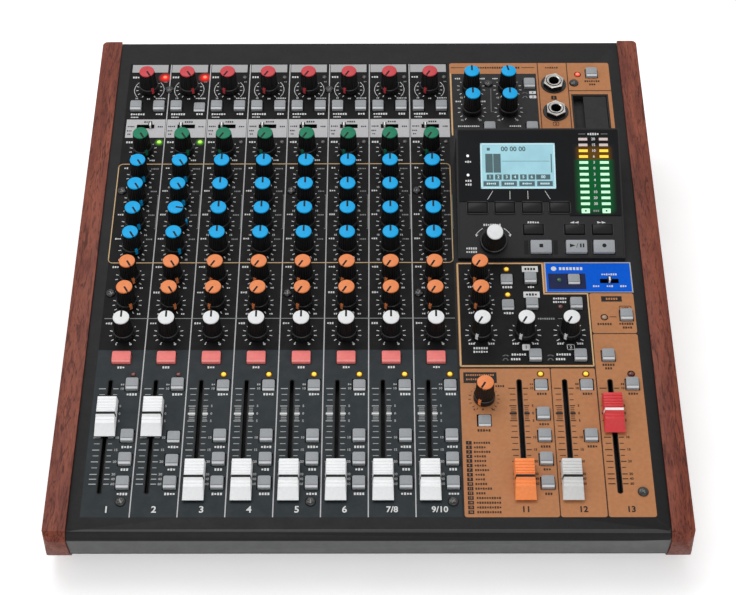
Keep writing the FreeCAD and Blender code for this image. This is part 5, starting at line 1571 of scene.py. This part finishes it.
def dressed_panel():
    """The folded top sheet, with rounded bends at its front, a painted highlight at the top of its bevel,
    painted shade below that, and a front face painted lighter as a painted reflection.
    """
    form = bmesh.new()
    form.from_mesh(frame_node("top_panel").data)
    form.transform(Matrix.Scale(1 / MM, 4))
    bmesh.ops.remove_doubles(form, verts=form.verts, dist=0.001)
    soften(form, 1.1, 4, 20.0, lambda edge: all(
        point.co.y < DECK_FRONT_Y + 0.01 and point.co.z > 30.0 and face_up(edge) for point in edge.verts))
    form.normal_update()
    # Painted highlight, painted shade and painted reflection follow the way each face of the fold looks
    for face in form.faces:
        face.material_index = fold_slot(face.normal)
    finishes = ["deck_paint", "bevel_highlight_paint", "bend_shade_paint", "face_reflection_paint"]
    panel = to_mesh("dressed_top_panel", form, finishes, 30.0)
    dress("top_panel", panel, Matrix.Identity(4), "case")


def fold_slot(normal):
    """The finish of a face of the folded sheet: deck, the top of the bevel with a painted highlight, the rest
    of the bevel and the bend under it with painted shade, or the front face painted lighter as a painted
    reflection.
    """
    if normal.y > -0.2 or normal.z < -0.5:
        return 0
    if normal.z > 0.75:
        return 1
    return 2 if normal.z > -0.2 else 3


def face_up(edge):
    """Whether an edge is one of the long outer bends."""
    return edge.calc_length() > 200.0 and all(face.normal.y < 0.01 for face in edge.link_faces)


# Studio

def floor_material():
    """Pale floor: plain to the light, and as bright as the background to the camera and to gloss."""
    material, nodes, links, shader = parts_of(bpy.data.materials.new("floor"))
    value = noise(nodes, links, 30.0)
    links.new(blended(nodes, links, between(nodes, links, value, 0.0, 1.0), (0.80, 0.80, 0.80, 1.0),
                      (0.84, 0.84, 0.84, 1.0)), shader.inputs["Base Color"])
    shader.inputs["Roughness"].default_value = 0.9
    shader.inputs["Emission Color"].default_value = (1, 1, 1, 1)
    ray = nodes.new("ShaderNodeLightPath")
    seen = nodes.new("ShaderNodeMath")
    seen.operation = "MAXIMUM"
    links.new(ray.outputs["Is Camera Ray"], seen.inputs[0])
    links.new(ray.outputs["Is Glossy Ray"], seen.inputs[1])
    strength = nodes.new("ShaderNodeMath")
    strength.operation = "MULTIPLY"
    strength.inputs[1].default_value = 0.45
    links.new(seen.outputs["Value"], strength.inputs[0])
    links.new(strength.outputs["Value"], shader.inputs["Emission Strength"])
    return material


def add_floor():
    form = bmesh.new()
    corners = [form.verts.new(point) for point in ((-4, -4, 0), (4, -4, 0), (4, 4, 0), (-4, 4, 0))]
    form.faces.new(corners)
    mesh = bpy.data.meshes.new("floor")
    form.to_mesh(mesh)
    form.free()
    mesh.materials.append(floor_material())
    floor = bpy.data.objects.new("floor", mesh)
    bpy.context.scene.collection.objects.link(floor)


def add_world():
    """Even pale light, and a white background where the camera or gloss sees past the floor."""
    world = bpy.data.worlds.new("studio")
    bpy.context.scene.world = world
    world.use_nodes = True
    nodes = world.node_tree.nodes
    links = world.node_tree.links
    nodes.clear()
    output = nodes.new("ShaderNodeOutputWorld")
    light = nodes.new("ShaderNodeBackground")
    light.inputs["Color"].default_value = (1, 1, 1, 1)
    light.inputs["Strength"].default_value = 0.45
    backdrop = nodes.new("ShaderNodeBackground")
    backdrop.inputs["Color"].default_value = (1, 1, 1, 1)
    backdrop.inputs["Strength"].default_value = 1.0
    ray = nodes.new("ShaderNodeLightPath")
    mix = nodes.new("ShaderNodeMixShader")
    seen = ray.outputs["Is Camera Ray"]
    for name in ("Is Glossy Ray", "Is Transmission Ray"):
        either = nodes.new("ShaderNodeMath")
        either.operation = "MAXIMUM"
        links.new(seen, either.inputs[0])
        links.new(ray.outputs[name], either.inputs[1])
        seen = either.outputs["Value"]
    links.new(seen, mix.inputs["Fac"])
    links.new(light.outputs["Background"], mix.inputs[1])
    links.new(backdrop.outputs["Background"], mix.inputs[2])
    links.new(mix.outputs["Shader"], output.inputs["Surface"])


def add_lamp(name, power, size, location, target):
    data = bpy.data.lights.new(name, "AREA")
    data.energy = power
    data.shape = "RECTANGLE"
    data.size, data.size_y = size
    lamp = bpy.data.objects.new(name, data)
    bpy.context.scene.collection.objects.link(lamp)
    lamp.location = location
    lamp.rotation_euler = (Vector(target) - Vector(location)).to_track_quat("-Z", "Y").to_euler()


def add_lamps():
    add_lamp("overhead", 8.5, (1.2, 0.8), (-0.25, 0.4, 1.25), (0, 0, 0.05))
    add_lamp("front_fill", 4.5, (1.6, 0.5), (0.3, -1.3, 0.55), (0, 0, 0.03))
    add_lamp("left_fill", 2.0, (0.8, 0.8), (-1.2, -0.2, 0.7), (0, 0, 0.05))


def main():
    bpy.context.scene.view_settings.view_transform = "Standard"
    add_camera()
    dress_nodes()
    for side in ("left_cheek", "right_cheek"):
        softened_copy(side, "wood", 0.7)
    dressed_panel()
    add_knobs()
    add_shafts()
    dress("jog_dial", jog_mesh(), at(HOUSING, *DIAL_PLACE))
    add_faders()
    add_buttons()
    add_switches()
    add_lights()
    add_screws()
    add_jacks()
    add_keys()
    add_key_wells()
    print_strips()
    print_master_section()
    print_window()
    print_screen()
    print_housing()
    for marks in (deck, housing, window, screen):
        marks.make()
    add_rear()
    add_floor()
    add_world()
    add_lamps()


main()
